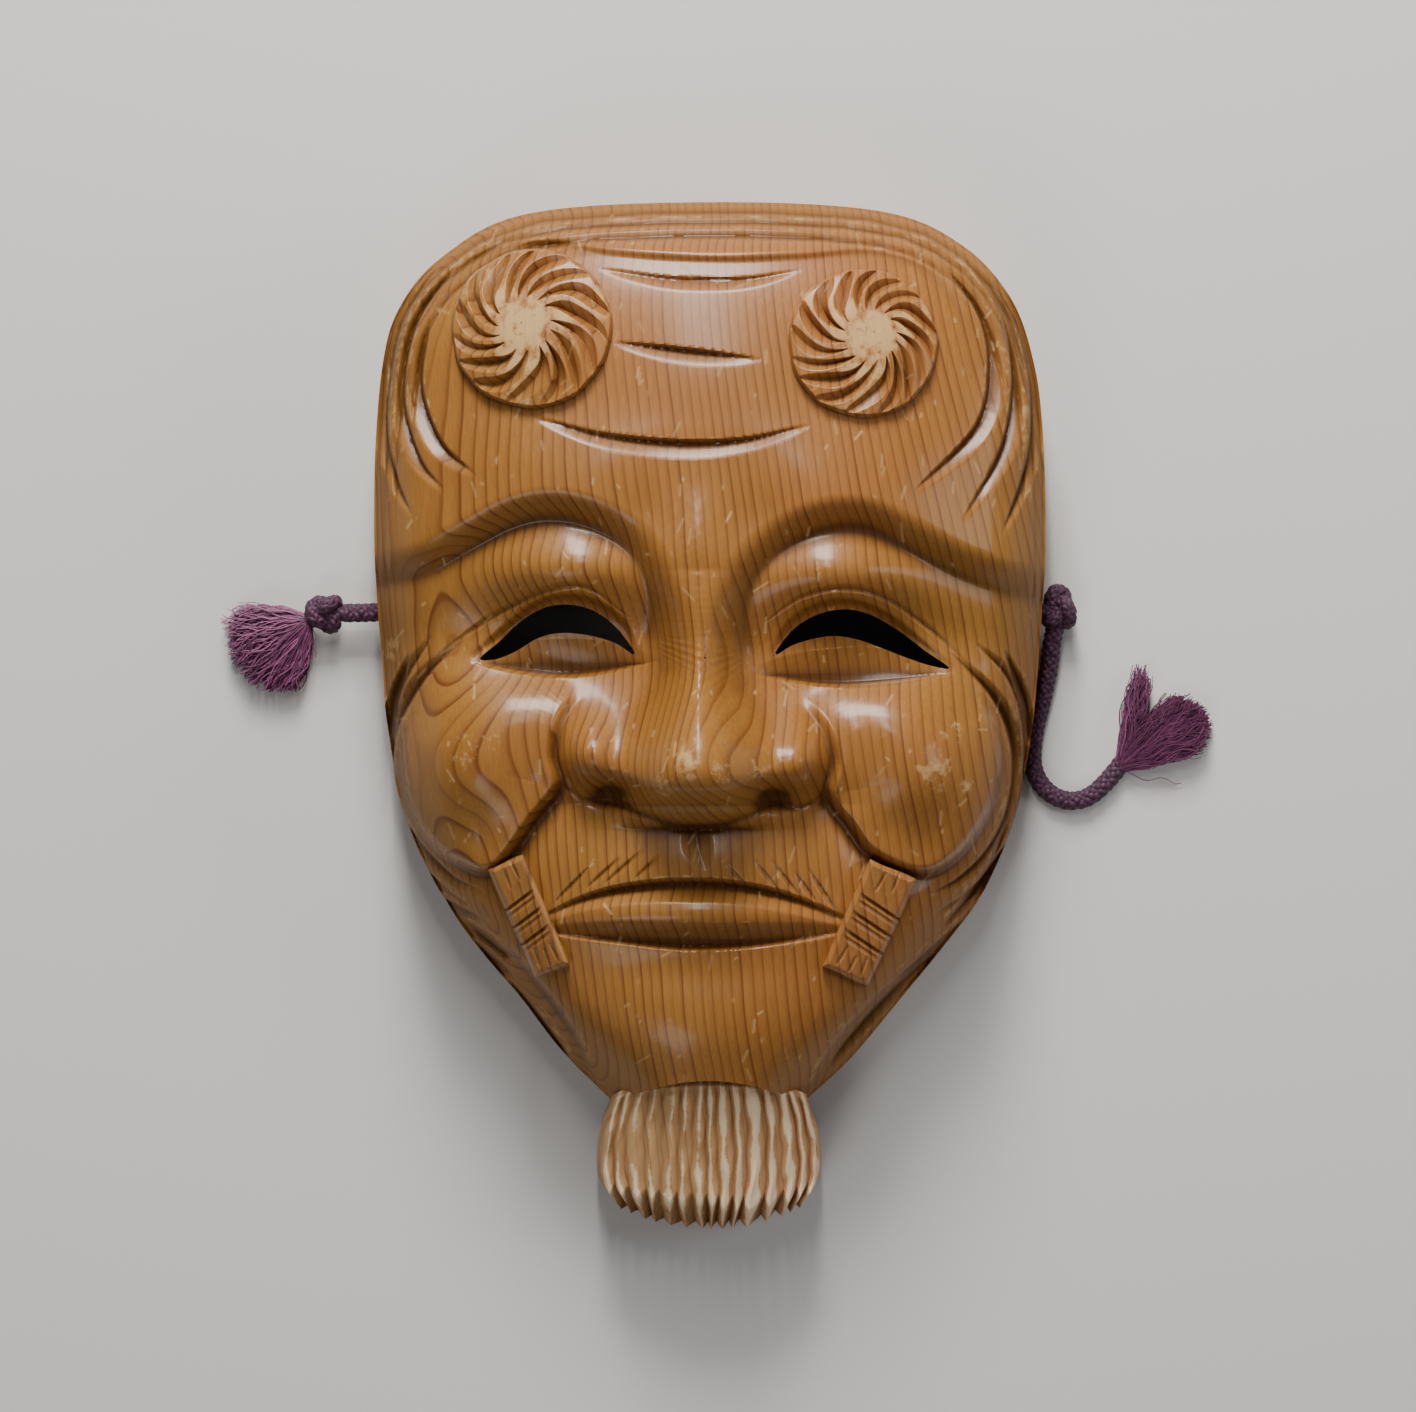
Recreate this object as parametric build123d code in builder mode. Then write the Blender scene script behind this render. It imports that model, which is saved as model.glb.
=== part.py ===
from build123d import *
import math
import os

# An old man's noh mask, carved in wood, lying on its back rim. +X is to the right of someone
# facing it, +Y is toward the crown and +Z is out of the face. Z = 0 is the surface that the
# back rim rests on. All sizes are in millimetres.

# ---- driving dimensions ----
CROWN_Y = 106.9                 # top of the forehead
SEAM_Y, SEAM_SIDE_Y = -75.0, -80.2   # the arc where the beard meets the chin
RIM_INSET = 4.0                 # how far the resting rim stands in from the widest outline
TURN_Z = 11.0                   # height where the side wall reaches the widest outline
WALL = 8.5                      # wall left at the rim
FACE_THICKNESS = 10.0           # wood left between the face and the hollow
EDGE_ROLL_WIDE, EDGE_ROLL_DEEP = 13.0, 16.0   # quarter ellipse that rounds the face's edge
ABOVE = 90.0                    # a height clear over the nose
GROOVE_DEPTH = 1.3              # depth of the carved folds
GRID_X, GRID_Y = 4.0, 5.0       # spacing of the points that the face's surface passes through
DEEP = -60.0                    # depth of the solids that lie under those surfaces

CORD_D = 3.7                    # braided cord
HOLE_D = 4.6                    # cord hole in the side wall
HOLE_Y, HOLE_Z = 21.8, 6.0      # axis of both cord holes
KNOT_LEFT_X, KNOT_RIGHT_X = -81.0, 73.6
KNOT_D, KNOT_TALL = 9.2, 8.0
FLOOR_GAP = 0.05                # how far the lowest cords and tassels stand over the surface

# The widest outline, from the right end of the chin seam over the crown to the left end.
OUTLINE = [
    (20.0, -80.2), (29.3, -71.8), (39.7, -59.3), (49.6, -47.2), (57.5, -36.0), (63.7, -21.6),
    (67.1, -4.9), (68.9, 16.0), (69.8, 36.0), (69.3, 58.0), (67.6, 73.0), (62.7, 87.0),
    (52.3, 98.3), (35.5, 105.2), (0.0, CROWN_Y), (-38.0, 104.7), (-55.6, 95.8), (-64.6, 85.2),
    (-68.2, 73.0), (-69.7, 52.0), (-69.6, 28.0), (-68.4, 11.8), (-67.2, -4.9), (-63.7, -21.6),
    (-56.6, -36.3), (-48.1, -48.8), (-40.2, -58.0), (-31.0, -70.2), (-20.6, -80.2),
]


# ---- the shape of the face ----
def along(table, t):
    """A smooth value at t, from (position, value) pairs in rising order of position."""
    if t <= table[0][0]:
        return table[0][1]
    if t >= table[-1][0]:
        return table[-1][1]
    k = max(i for i in range(len(table) - 1) if table[i][0] <= t)
    (t0, v0), (t1, v1) = table[k], table[k + 1]
    before, after = table[max(k - 1, 0)], table[min(k + 2, len(table) - 1)]
    m0 = (v1 - before[1]) / (t1 - before[0])
    m1 = (after[1] - v0) / (after[0] - t0)
    u, span = (t - t0) / (t1 - t0), t1 - t0
    return (
        v0 * (1 + 2 * u) * (1 - u) ** 2
        + v1 * (3 - 2 * u) * u**2
        + span * (m0 * u * (1 - u) ** 2 - m1 * (1 - u) * u**2)
    )


MID_HEIGHT = [      # height of the plain dome down the middle of the face
    (-95, 31), (-76, 38.5), (-60, 43), (-40, 44.5), (-20, 44), (0, 44), (15, 46), (30, 49),
    (45, 51), (60, 52), (80, 50), (95, 45), (107, 38),
]
HALF_WIDTH = [(-95, 25), (-80, 27), (-58, 41), (-37, 57), (-22, 64), (-5, 68), (20, 70)]
SIDE_FALL = 15.0    # how much lower the dome is at its sides

NOSE_X = -2.3
NOSE_RISE = [(-23.2, 0), (-21.6, 6.0), (-19, 11.6), (-14.5, 15.4), (-9, 15.8), (0, 12.0), (10, 7.4),
             (20, 3.6), (30, 0)]
NOSE_HALF = [(-23, 12.0), (-14, 13.4), (-7, 12.0), (0, 9.2), (6, 6.8), (14, 5.6), (30, 6.5)]
NOSE_RIDGE = [(-12, 0), (-6, 0.5), (0, 1.1), (12, 1.1), (20, 0.7), (27, 0)]
NOSE_BASE_RISE = [(-18.0, 0), (-16.6, 2.6), (-14, 5.6), (-9, 6.6), (-3, 5.6), (3, 3.2), (9, 1.0),
                  (16, 0)]
NOSE_BASE_HALF = [(-18, 23), (-11, 25.0), (-5, 24.0), (0, 21), (6, 15), (14, 9)]

# Rounded rises and hollows: centre x, centre y, reach in x, reach in y, height.
SWELLS = [
    (-49.0, -9.5, 14.0, 16.0, 10.0), (44.0, -10.5, 14.5, 16.0, 10.0),   # cheeks
    (-36.0, 1.0, 12.0, 7.0, 2.5), (32.0, 0.0, 12.0, 7.0, 2.5),          # cheek tops
    (-25.0, -7.6, 6.0, 7.4, 6.6), (18.6, -8.8, 6.0, 7.4, 6.6),          # wings of the nose
    (-31.0, 15.0, 19.0, 8.0, -6.0), (29.5, 14.0, 19.0, 8.0, -6.0),      # eye sockets
    (-30.0, 30.0, 14.0, 6.5, 4.2), (27.5, 29.0, 14.0, 6.5, 4.2),        # upper lids
    (-31.0, 14.5, 13.0, 4.5, 1.2), (30.0, 13.0, 13.0, 4.5, 1.2),        # lower lids
    (-36.0, 50.0, 24.0, 8.0, 3.0), (33.0, 48.5, 24.0, 8.0, 3.0),        # brows
    (-15.0, 40.0, 8.0, 7.0, -1.2), (10.5, 39.0, 8.0, 7.0, -1.2),        # inner ends of the brows
    (-2.5, 34.0, 7.0, 12.0, 1.6),                                       # between the brows
    (-3.0, -31.0, 26.0, 9.0, 2.4),                                      # upper lip
    (-3.5, -40.8, 24.0, 3.8, 2.6),                                      # lower lip
    (-3.0, -52.0, 22.0, 5.0, -0.9),                                     # hollow under the lip
    (-2.0, -66.0, 17.0, 9.0, 1.4),                                      # chin
]


def edge_distance(x, y):
    """Distance in from the widest outline, below zero outside it."""
    nearest, inside = 1e9, False
    loop = OUTLINE + [(-24.0, -125.0), (24.0, -125.0)]
    for k, (ax, ay) in enumerate(loop):
        bx, by = loop[(k + 1) % len(loop)]
        if (ay > y) != (by > y) and x < ax + (y - ay) * (bx - ax) / (by - ay):
            inside = not inside
        if k < len(OUTLINE) - 1:
            dx, dy = bx - ax, by - ay
            u = max(0.0, min(1.0, ((x - ax) * dx + (y - ay) * dy) / (dx * dx + dy * dy)))
            nearest = min(nearest, math.hypot(x - ax - u * dx, y - ay - u * dy))
    return nearest if inside else -nearest


def rolled(distance, wide, deep):
    """How far the surface has dropped at a distance from its edge."""
    u = 1 - max(min(distance / wide, 1.0), 0.04)
    outside = min(max(0.0, 0.04 * wide - distance), 8.0)
    return deep * (1 - math.sqrt(1 - u * u)) + 1.2 * outside


def dome(x, y):
    out = min(abs(x) / along(HALF_WIDTH, y), 1.1)
    return along(MID_HEIGHT, y) - SIDE_FALL * out**2.2


def face_height(x, y):
    off = abs(x - NOSE_X)
    rise = along(NOSE_RISE, y) * math.exp(-((off / along(NOSE_HALF, y)) ** 2.5))
    rise += along(NOSE_RIDGE, y) * math.exp(-((off / 2.6) ** 1.6))
    rise += along(NOSE_BASE_RISE, y) * math.exp(-((off / along(NOSE_BASE_HALF, y)) ** 3.0))
    for cx, cy, rx, ry, height in SWELLS:
        rise += height * math.exp(-(((x - cx) / rx) ** 2) - ((y - cy) / ry) ** 2)
    return dome(x, y) + rise - rolled(edge_distance(x, y), EDGE_ROLL_WIDE, EDGE_ROLL_DEEP)


def hollow_height(x, y):
    nose_hollow = 9.0 * math.exp(-(((x - NOSE_X) / 10) ** 2) - ((y + 6) / 14) ** 2)
    inner = edge_distance(x, y) - RIM_INSET - WALL
    return dome(x, y) - FACE_THICKNESS + nose_hollow - rolled(inner, 18.0, 20.0)


def height_solid(height, high_x, low_y, high_y):
    """Everything below a surface, down to DEEP, lofted through its cross sections."""
    across = round(2 * high_x / GRID_X)
    even = [k / across for k in range(across + 1)]
    sections = []
    for row in range(round((high_y - low_y) / GRID_Y) + 1):
        y = low_y + GRID_Y * row
        line = [(x, height(x, y)) for x in (-high_x + 2 * high_x * share for share in even)]
        with BuildSketch(Plane.XZ.offset(-y)) as section:
            with BuildLine():
                add(Edge.make_spline([Vector(*point) for point in line], parameters=even))
                Polyline(line[-1], (high_x, DEEP), (-high_x, DEEP), line[0])
            make_face()
        sections.append(section.sketch)
    with BuildPart() as block:
        loft(sections)
    return block.part


FACE_SOLID = height_solid(face_height, 78.0, -93.0, 117.0)
HOLLOW_SOLID = height_solid(hollow_height, 64.0, -83.0, 107.0)
GROOVE_SOLID = FACE_SOLID.moved(Location((0, 0, -GROOVE_DEPTH)))


# ---- outlines ----
def inset_points(points, inset):
    """The points moved inward, to the left of the way that they run."""
    moved = []
    for k, (x, y) in enumerate(points):
        ax, ay = points[max(k - 1, 0)]
        bx, by = points[min(k + 1, len(points) - 1)]
        long = math.hypot(bx - ax, by - ay)
        moved.append((x - inset * (by - ay) / long, y + inset * (bx - ax) / long))
    return moved


def rim_sketch(plane, inset, seam_rise=0.0):
    """The mask's outline moved inward, closed along the bottom by the arc of the chin seam."""
    points = inset_points(OUTLINE, inset)
    start, end = points[0], points[-1]
    with BuildSketch(plane) as sketch:
        with BuildLine():
            Spline(*points)
            ThreePointArc(end, (0, SEAM_Y + seam_rise), start)
        make_face()
    return sketch.sketch


def lens_sketch(folds, plane=Plane.XY):
    """One slender lens for each fold: its greatest width and its middle line."""
    with BuildSketch(plane) as sketch:
        for width, points in folds:
            steps = [min(k, len(points) - 1 - k) for k in range(len(points))]
            fullness = [math.sin(math.pi / 2 * s / max(steps)) for s in steps]
            sides = []
            for sign in (1, -1):
                side = []
                for k, (x, y) in enumerate(points):
                    ax, ay = points[max(k - 1, 0)]
                    bx, by = points[min(k + 1, len(points) - 1)]
                    half = sign * width / 2 * fullness[k] / math.hypot(bx - ax, by - ay)
                    side.append((x - half * (by - ay), y + half * (bx - ax)))
                sides.append(side)
            with BuildLine():
                Spline(*sides[0])
                Spline(*reversed(sides[1]))
            make_face()
    return sketch.sketch


FOLDS = [
    (2.0, [(-17.3, 76.2), (-4.0, 75.6), (9.4, 73.5)]),                              # forehead
    (2.6, [(-34.5, 60.5), (-22.0, 57.4), (-6.3, 56.1), (7.0, 56.6), (18.2, 58.6)]),
    (2.4, [(-21.0, 91.6), (-2.0, 89.8), (16.7, 91.2)]),                             # hood band
    (2.4, [(-64.0, 80.8), (-64.8, 62.0), (-63.0, 49.4), (-60.5, 41.0)]),            # left hair
    (2.2, [(-59.8, 81.5), (-60.6, 67.0), (-57.6, 54.6), (-51.5, 47.5)]),
    (2.4, [(58.0, 86.0), (62.4, 73.0), (60.6, 55.7), (53.3, 43.1)]),                # right hair
    (2.2, [(52.6, 90.0), (57.3, 76.6), (54.6, 59.9), (44.6, 48.3)]),
    (2.0, [(-56.6, 13.2), (-51.0, 19.5), (-42.0, 24.0), (-33.0, 25.6), (-24.0, 24.6), (-17.0, 20.0)]),
    (2.0, [(11.5, 19.1), (18.8, 24.3), (29.3, 26.0), (39.7, 22.6), (51.2, 13.5)]),  # upper lids
    (2.2, [(-54.4, 11.2), (-59.8, 3.4), (-61.6, -9.1), (-58.6, -21.6), (-50.6, -30.6)]),
    (2.0, [(51.2, 9.1), (57.0, -1.8), (59.0, -13.3), (54.8, -24.8), (44.8, -31.5)]),
    (2.4, [(-30.3, -15.4), (-33.4, -22.6), (-39.5, -28.4), (-46.5, -31.4)]),        # beside the mouth
    (2.4, [(23.8, -17.5), (28.3, -24.9), (34.4, -30.2), (42.8, -33.6)]),
    (2.6, [(-31.0, -41.2), (-19.0, -36.6), (-4.0, -35.2), (11.0, -36.8), (24.5, -41.6)]),  # lips
    (2.2, [(-29.0, -46.4), (-16.0, -47.8), (-3.0, -48.4), (10.0, -47.8), (22.5, -46.4)]),
    (2.2, [(-41.0, -51.4), (-31.4, -62.2), (-24.6, -73.4)]),                        # jaw flanks
    (2.2, [(43.5, -51.6), (33.8, -61.4), (23.6, -72.4)]),
]


def tangent_plane(x, y, reach=9.0):
    """The plane that lies on the face around a point, its x axis level with +X."""
    across = face_height(x + reach, y) - face_height(x - reach, y)
    upward = face_height(x, y + reach) - face_height(x, y - reach)
    x_dir = Vector(2 * reach, 0, across)
    y_dir = Vector(0, 2 * reach, upward)
    return Plane(origin=(x, y, face_height(x, y)), x_dir=x_dir, z_dir=x_dir.cross(y_dir))


# ---- brow rosettes ----
# Centre x, centre y and radius.
ROSETTES = {"brow_rosette_left": (-36.6, 79.7, 16.9), "brow_rosette_right": (31.4, 76.6, 15.7)}
ROSETTE_SEAT = 4.0          # depth of the round seat in the forehead
ROSETTE_RISE = 1.0          # how proud of the forehead its edge stands
ROSETTE_DOME = 3.2          # how much higher its middle is
GOUGE_FLOOR = 1.3           # height of the gouges' floor over the forehead
PETALS = 15
PETAL_SWEEP = 75.0          # degrees that a gouge turns clockwise from the hub to the edge
HUB_SHARE = 0.3             # radius of the plain hub as a share of the rosette's
HUB_FLAT = 0.25             # radius of the worn flat on top of it, as a share
DOME_MID = (0.68, 0.73)     # halfway up the dome: shares of the radius and of the dome's height


def petal(radius, start):
    line = []
    for share in (HUB_SHARE, 0.52, 0.75, 0.97):
        angle = math.radians(start - PETAL_SWEEP * (share - HUB_SHARE) / (1 - HUB_SHARE))
        line.append((radius * share * math.cos(angle), radius * share * math.sin(angle)))
    return 0.16 * radius, line


rosettes = {}
for name, (cx, cy, radius) in ROSETTES.items():
    plane = tangent_plane(cx, cy)
    top = ROSETTE_RISE + ROSETTE_DOME
    gouges = lens_sketch(
        [petal(radius, 360 / PETALS * k) for k in range(PETALS)], Plane.XY.offset(GOUGE_FLOOR)
    )
    with BuildPart() as rosette:
        with BuildSketch(Plane.XZ):
            with BuildLine():
                Polyline((HUB_FLAT * radius, top), (0, top), (0, -ROSETTE_SEAT),
                         (radius, -ROSETTE_SEAT), (radius, ROSETTE_RISE))
                ThreePointArc((radius, ROSETTE_RISE),
                              (DOME_MID[0] * radius, ROSETTE_RISE + DOME_MID[1] * ROSETTE_DOME),
                              (HUB_FLAT * radius, top))
            make_face()
        revolve(axis=Axis.Z)
        extrude(gouges, amount=10, mode=Mode.SUBTRACT)
    rosettes[name] = plane.from_local_coords(rosette.part)


# ---- tie blocks at the corners of the mouth ----
# Centre x, centre y, width, length and lean in degrees from upright.
TIES = {
    "tie_block_left": (-37.1, -41.4, 8.0, 24.6, 23.0),
    "tie_block_right": (32.6, -42.6, 10.6, 24.6, -24.0),
}
TIE_SEAT = 3.5
TIE_RISE = 2.2
TIE_CUTS = (-3.4, 0.0, 3.4)     # places of the cross cuts along a block
TIE_CUT_WIDE, TIE_CUT_DEEP = 0.9, 1.0
TIE_CHAMFER = 0.6


def tie_plane(cx, cy, lean):
    return tangent_plane(cx, cy, 6.0).rotated((0, 0, lean))


ties = {}
for name, (cx, cy, wide, long, lean) in TIES.items():
    plane = tie_plane(cx, cy, lean)
    with BuildPart() as tie:
        with BuildSketch(plane.offset(-TIE_SEAT)):
            Rectangle(wide, long)
        extrude(amount=TIE_SEAT + TIE_RISE)
        top_face = tie.faces().sort_by(Axis(plane.origin, plane.z_dir))[-1]
        chamfer(top_face.edges(), TIE_CHAMFER)
        with BuildSketch(plane.offset(TIE_RISE - TIE_CUT_DEEP)):
            with Locations(*[(0, place) for place in TIE_CUTS]):
                Rectangle(wide + 2, TIE_CUT_WIDE)
        extrude(amount=TIE_CUT_DEEP + 1, mode=Mode.SUBTRACT)
    ties[name] = tie.part


# ---- beard ----
BEARD_LOW = 3.0             # the beard stops short of the surface
BEARD_TOP = 36.0            # height of its ridges at the seam, in the middle
BEARD_FALL = 9.0            # how much lower they are at its sides
BEARD_SLOPE = -0.30         # rise of a ridge for each millimetre toward the beard's end
FLUTES, FLUTE_DEPTH = 15, 1.7
BEARD_END, BEARD_HALF = -106.9, 23.5
BEARD_LONG = 36.0           # more than the length of a ridge
BEARD_BEVEL = [(-101.5, 60), (-101.5, 27.5), (-108, 14), (-115, 14), (-115, 60)]    # y and z
BEARD_SIDE = [(20.0, -80.2), (22.6, -88.0), (BEARD_HALF, -97.0), (23.0, -104.4)]


def beard_sketch(plane):
    mirrored = [(-x - 0.3, y) for x, y in BEARD_SIDE]
    with BuildSketch(plane) as sketch:
        with BuildLine():
            ThreePointArc((-20.6, SEAM_SIDE_Y), (0, SEAM_Y), BEARD_SIDE[0])
            Spline(*BEARD_SIDE)
            ThreePointArc(BEARD_SIDE[-1], (0, BEARD_END), mirrored[-1])
            Spline(*reversed(mirrored[1:]), (-20.6, SEAM_SIDE_Y))
        make_face()
    return sketch.sketch


ridges = []
for k in range(2 * FLUTES + 1):
    x = -BEARD_HALF - 1.5 + (2 * BEARD_HALF + 3.0) * k / (2 * FLUTES)
    ridges.append((x, BEARD_TOP - BEARD_FALL * (x / BEARD_HALF) ** 2 - FLUTE_DEPTH * (k % 2)))

beard_base = beard_sketch(Plane.XY.offset(BEARD_LOW))
with BuildPart() as beard_block:
    extrude(beard_base, amount=ABOVE)

with BuildPart() as beard:
    with BuildSketch(Plane.XZ.offset(-SEAM_Y - 1.0)):
        with BuildLine():
            Polyline(*ridges, (ridges[-1][0], DEEP), (ridges[0][0], DEEP), close=True)
        make_face()
    extrude(amount=BEARD_LONG, dir=(0, -1, BEARD_SLOPE))
    add(beard_block.part, mode=Mode.INTERSECT)
    with BuildSketch(Plane.YZ):     # the bevel along the beard's end
        with BuildLine():
            Polyline(*BEARD_BEVEL, close=True)
        make_face()
    extrude(amount=40, both=True, mode=Mode.SUBTRACT)


# ---- mask body ----
EYES = [   # outer corner, top of the opening, inner corner, middle of the lower lid
    ((-47.2, 12.4), (-31.4, 22.9), (-15.5, 12.4), (-31.0, 16.6)),
    ((48.1, 11.2), (30.0, 21.8), (13.4, 12.4), (30.6, 15.6)),
]
NOSTRIL_D, NOSTRIL_Z = 5.2, 47.6
NOSTRIL_START, NOSTRIL_END = -26.0, -12.0    # in y, from clear under the nose up into its wings
NOSTRILS_X = (-19.5, 12.0)

resting_rim = rim_sketch(Plane.XY, RIM_INSET)
widest = rim_sketch(Plane.XY.offset(TURN_Z), 0.0)
hollow_rim = rim_sketch(Plane.XY, RIM_INSET + WALL, seam_rise=WALL)
fold_lenses = lens_sketch(FOLDS)
beard_outline = beard_sketch(Plane.XY)

with BuildPart() as hollow:
    extrude(hollow_rim, amount=ABOVE)
    add(HOLLOW_SOLID, mode=Mode.INTERSECT)

with BuildPart() as seats:
    for cx, cy, radius in ROSETTES.values():
        with BuildSketch(tangent_plane(cx, cy).offset(-ROSETTE_SEAT)):
            Circle(radius)
        extrude(amount=ROSETTE_SEAT + 20)
    for cx, cy, wide, long, lean in TIES.values():
        with BuildSketch(tie_plane(cx, cy, lean).offset(-TIE_SEAT)):
            Rectangle(wide, long)
        extrude(amount=TIE_SEAT + 10)

with BuildPart() as fold_cuts:
    extrude(fold_lenses, amount=ABOVE)
    add(GROOVE_SOLID, mode=Mode.SUBTRACT)

with BuildPart() as mask_body:
    loft([resting_rim, widest])
    extrude(widest, amount=ABOVE - TURN_Z)
    add(FACE_SOLID, mode=Mode.INTERSECT)
    add(hollow.part, mode=Mode.SUBTRACT)
    with BuildSketch(Plane.XY):
        for outer, top, inner, low in EYES:
            with BuildLine():
                ThreePointArc(outer, top, inner)
                ThreePointArc(inner, low, outer)
            make_face()
    extrude(amount=ABOVE, mode=Mode.SUBTRACT)
    for side in (-1, 1):
        with BuildSketch(Plane.YZ.offset(side * 40)):
            with Locations((HOLE_Y, HOLE_Z)):
                Circle(HOLE_D / 2)
        extrude(amount=side * 45, mode=Mode.SUBTRACT)
    with BuildSketch(Plane.XZ.offset(-NOSTRIL_START)):
        with Locations(*[(x, NOSTRIL_Z) for x in NOSTRILS_X]):
            Circle(NOSTRIL_D / 2)
    extrude(amount=NOSTRIL_START - NOSTRIL_END, mode=Mode.SUBTRACT)
    add(seats.part, mode=Mode.SUBTRACT)
    add(fold_cuts.part, mode=Mode.SUBTRACT)
    extrude(beard_outline, amount=ABOVE, mode=Mode.SUBTRACT)


# ---- cords ----
CORD_Z = CORD_D / 2 + FLOOR_GAP     # height of a cord that lies on the surface
KNOT_POLE = 1.4                     # radius of the flat on top of a knot and under it
KNOT_FLAT = 4.0                     # from a knot's middle to the flat where the cord enters it

# From the left knot through both side holes, with the slack lying inside the hollow.
HANGING_ROUTE = [
    (KNOT_LEFT_X + KNOT_FLAT, HOLE_Y, HOLE_Z), (-45.5, HOLE_Y, HOLE_Z), (-24.0, 46.0, CORD_Z),
    (6.0, 55.0, CORD_Z), (30.0, 42.0, CORD_Z), (45.5, HOLE_Y, HOLE_Z),
    (KNOT_RIGHT_X - KNOT_FLAT, HOLE_Y, HOLE_Z),
]
# From the right knot down beside the rim, round, and up to the tassel.
TAIL_ROUTE = [
    (72.2, 16.7, 4.4), (71.7, 10.4, 2.4), (70.2, 3.4, CORD_Z), (68.3, -4.0, CORD_Z),
    (67.9, -11.0, CORD_Z), (71.2, -16.4, CORD_Z), (76.9, -18.4, CORD_Z), (82.6, -15.8, CORD_Z),
    (87.2, -9.6, CORD_Z),
]


def bend_radii(points):
    """As large a radius at each corner as its two runs allow."""
    radii = []
    for before, at, after in zip(points, points[1:], points[2:]):
        run_in, run_out = Vector(*at) - Vector(*before), Vector(*after) - Vector(*at)
        turn = math.radians(run_in.get_angle(run_out))
        radii.append(0.45 * min(run_in.length, run_out.length) / math.tan(turn / 2))
    return radii


def cord_tube(label, points):
    radii = bend_radii(points)
    with BuildPart() as tube:
        with BuildLine() as path:
            FilletPolyline(*[Vector(*p) for p in points], radius=radii)
        with BuildSketch(Plane(origin=path.line @ 0, z_dir=path.line % 0)):
            Circle(CORD_D / 2)
        sweep(path=path.line)
    length = sum(edge.length for edge in path.line.edges())
    expected = math.pi * CORD_D**2 / 4 * length
    print(label, "length", round(length, 1), "radii", [round(r, 1) for r in radii],
          "volume ratio", round(tube.part.volume / expected, 4))
    return tube.part


def knot(x, flat_side):
    """A squat bead about its upright axis, flat where the hanging cord enters it."""
    with BuildPart() as bead:
        with BuildSketch(Plane(origin=(x, HOLE_Y, HOLE_Z), x_dir=(1, 0, 0), z_dir=(0, -1, 0))):
            with BuildLine():
                Polyline((KNOT_POLE, KNOT_TALL / 2), (0, KNOT_TALL / 2), (0, -KNOT_TALL / 2),
                         (KNOT_POLE, -KNOT_TALL / 2))
                ThreePointArc((KNOT_POLE, -KNOT_TALL / 2), (KNOT_D / 2, 0),
                              (KNOT_POLE, KNOT_TALL / 2))
            make_face()
        revolve(axis=Axis((x, HOLE_Y, 0), (0, 0, 1)))
        kept = Keep.BOTTOM if flat_side > 0 else Keep.TOP
        split(bisect_by=Plane.YZ.offset(x + flat_side * KNOT_FLAT), keep=kept)
    return bead.part


def tassel(sections):
    """A flattened cone of loose threads, through sections of (place, half width, half height)."""
    places = [Vector(*place) for place, _, _ in sections]
    forward = (places[-1] - places[0]).normalized()
    outlines = []
    for place, half_width, half_height in sections:
        across = Vector(0, 0, 1).cross(forward)
        with BuildSketch(Plane(origin=place, x_dir=across, z_dir=forward)) as section:
            Ellipse(half_width, half_height)
        outlines.append(section.sketch)
    with BuildPart() as threads:
        loft(outlines)
    return threads.part


LEFT_TASSEL = [
    ((-85.9, 19.4, 4.6), 1.9, 1.85), ((-89.4, 16.6, 3.9), 5.0, 2.9),
    ((-94.2, 12.8, 3.1), 7.6, 2.5), ((-98.0, 9.8, 2.4), 6.2, 1.6),
]
RIGHT_TASSEL = [
    ((87.4, -9.4, CORD_Z), 1.8, 1.8), ((90.9, -5.2, 2.7), 3.6, 2.5),
    ((96.0, 0.2, 2.8), 7.6, 2.6), ((99.6, 4.2, 2.2), 7.0, 1.7),
]

pieces = {
    "mask_body": mask_body.part, **rosettes, **ties, "beard": beard.part,
    "hanging_cord": cord_tube("hanging_cord", HANGING_ROUTE),
    "knot_left": knot(KNOT_LEFT_X, 1), "knot_right": knot(KNOT_RIGHT_X, -1),
    "cord_tail": cord_tube("cord_tail", TAIL_ROUTE),
    "tassel_left": tassel(LEFT_TASSEL), "tassel_right": tassel(RIGHT_TASSEL),
}

os.makedirs("parts", exist_ok=True)
for name, piece in pieces.items():
    piece.label = name
    export_step(piece, f"parts/{name}.step")
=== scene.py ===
"""An old man's noh mask in varnished wood, lying on its back, with its braided cord."""

import math

import bpy
import numpy as np
from mathutils import Matrix, Vector


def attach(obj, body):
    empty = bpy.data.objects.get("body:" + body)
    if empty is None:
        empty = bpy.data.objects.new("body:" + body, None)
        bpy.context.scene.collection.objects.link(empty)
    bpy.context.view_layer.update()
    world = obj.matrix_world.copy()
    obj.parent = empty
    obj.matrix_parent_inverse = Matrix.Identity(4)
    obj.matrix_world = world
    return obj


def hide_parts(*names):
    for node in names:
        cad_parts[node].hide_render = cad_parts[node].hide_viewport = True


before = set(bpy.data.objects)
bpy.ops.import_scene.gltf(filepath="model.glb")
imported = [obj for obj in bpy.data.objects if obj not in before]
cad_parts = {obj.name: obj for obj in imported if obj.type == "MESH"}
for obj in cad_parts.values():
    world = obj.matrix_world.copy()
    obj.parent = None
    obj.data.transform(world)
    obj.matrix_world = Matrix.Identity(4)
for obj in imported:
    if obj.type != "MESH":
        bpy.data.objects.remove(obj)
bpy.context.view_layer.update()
MM = 0.001  # the shapes below are worked out in millimetres
noise = np.random.default_rng(11)


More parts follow.
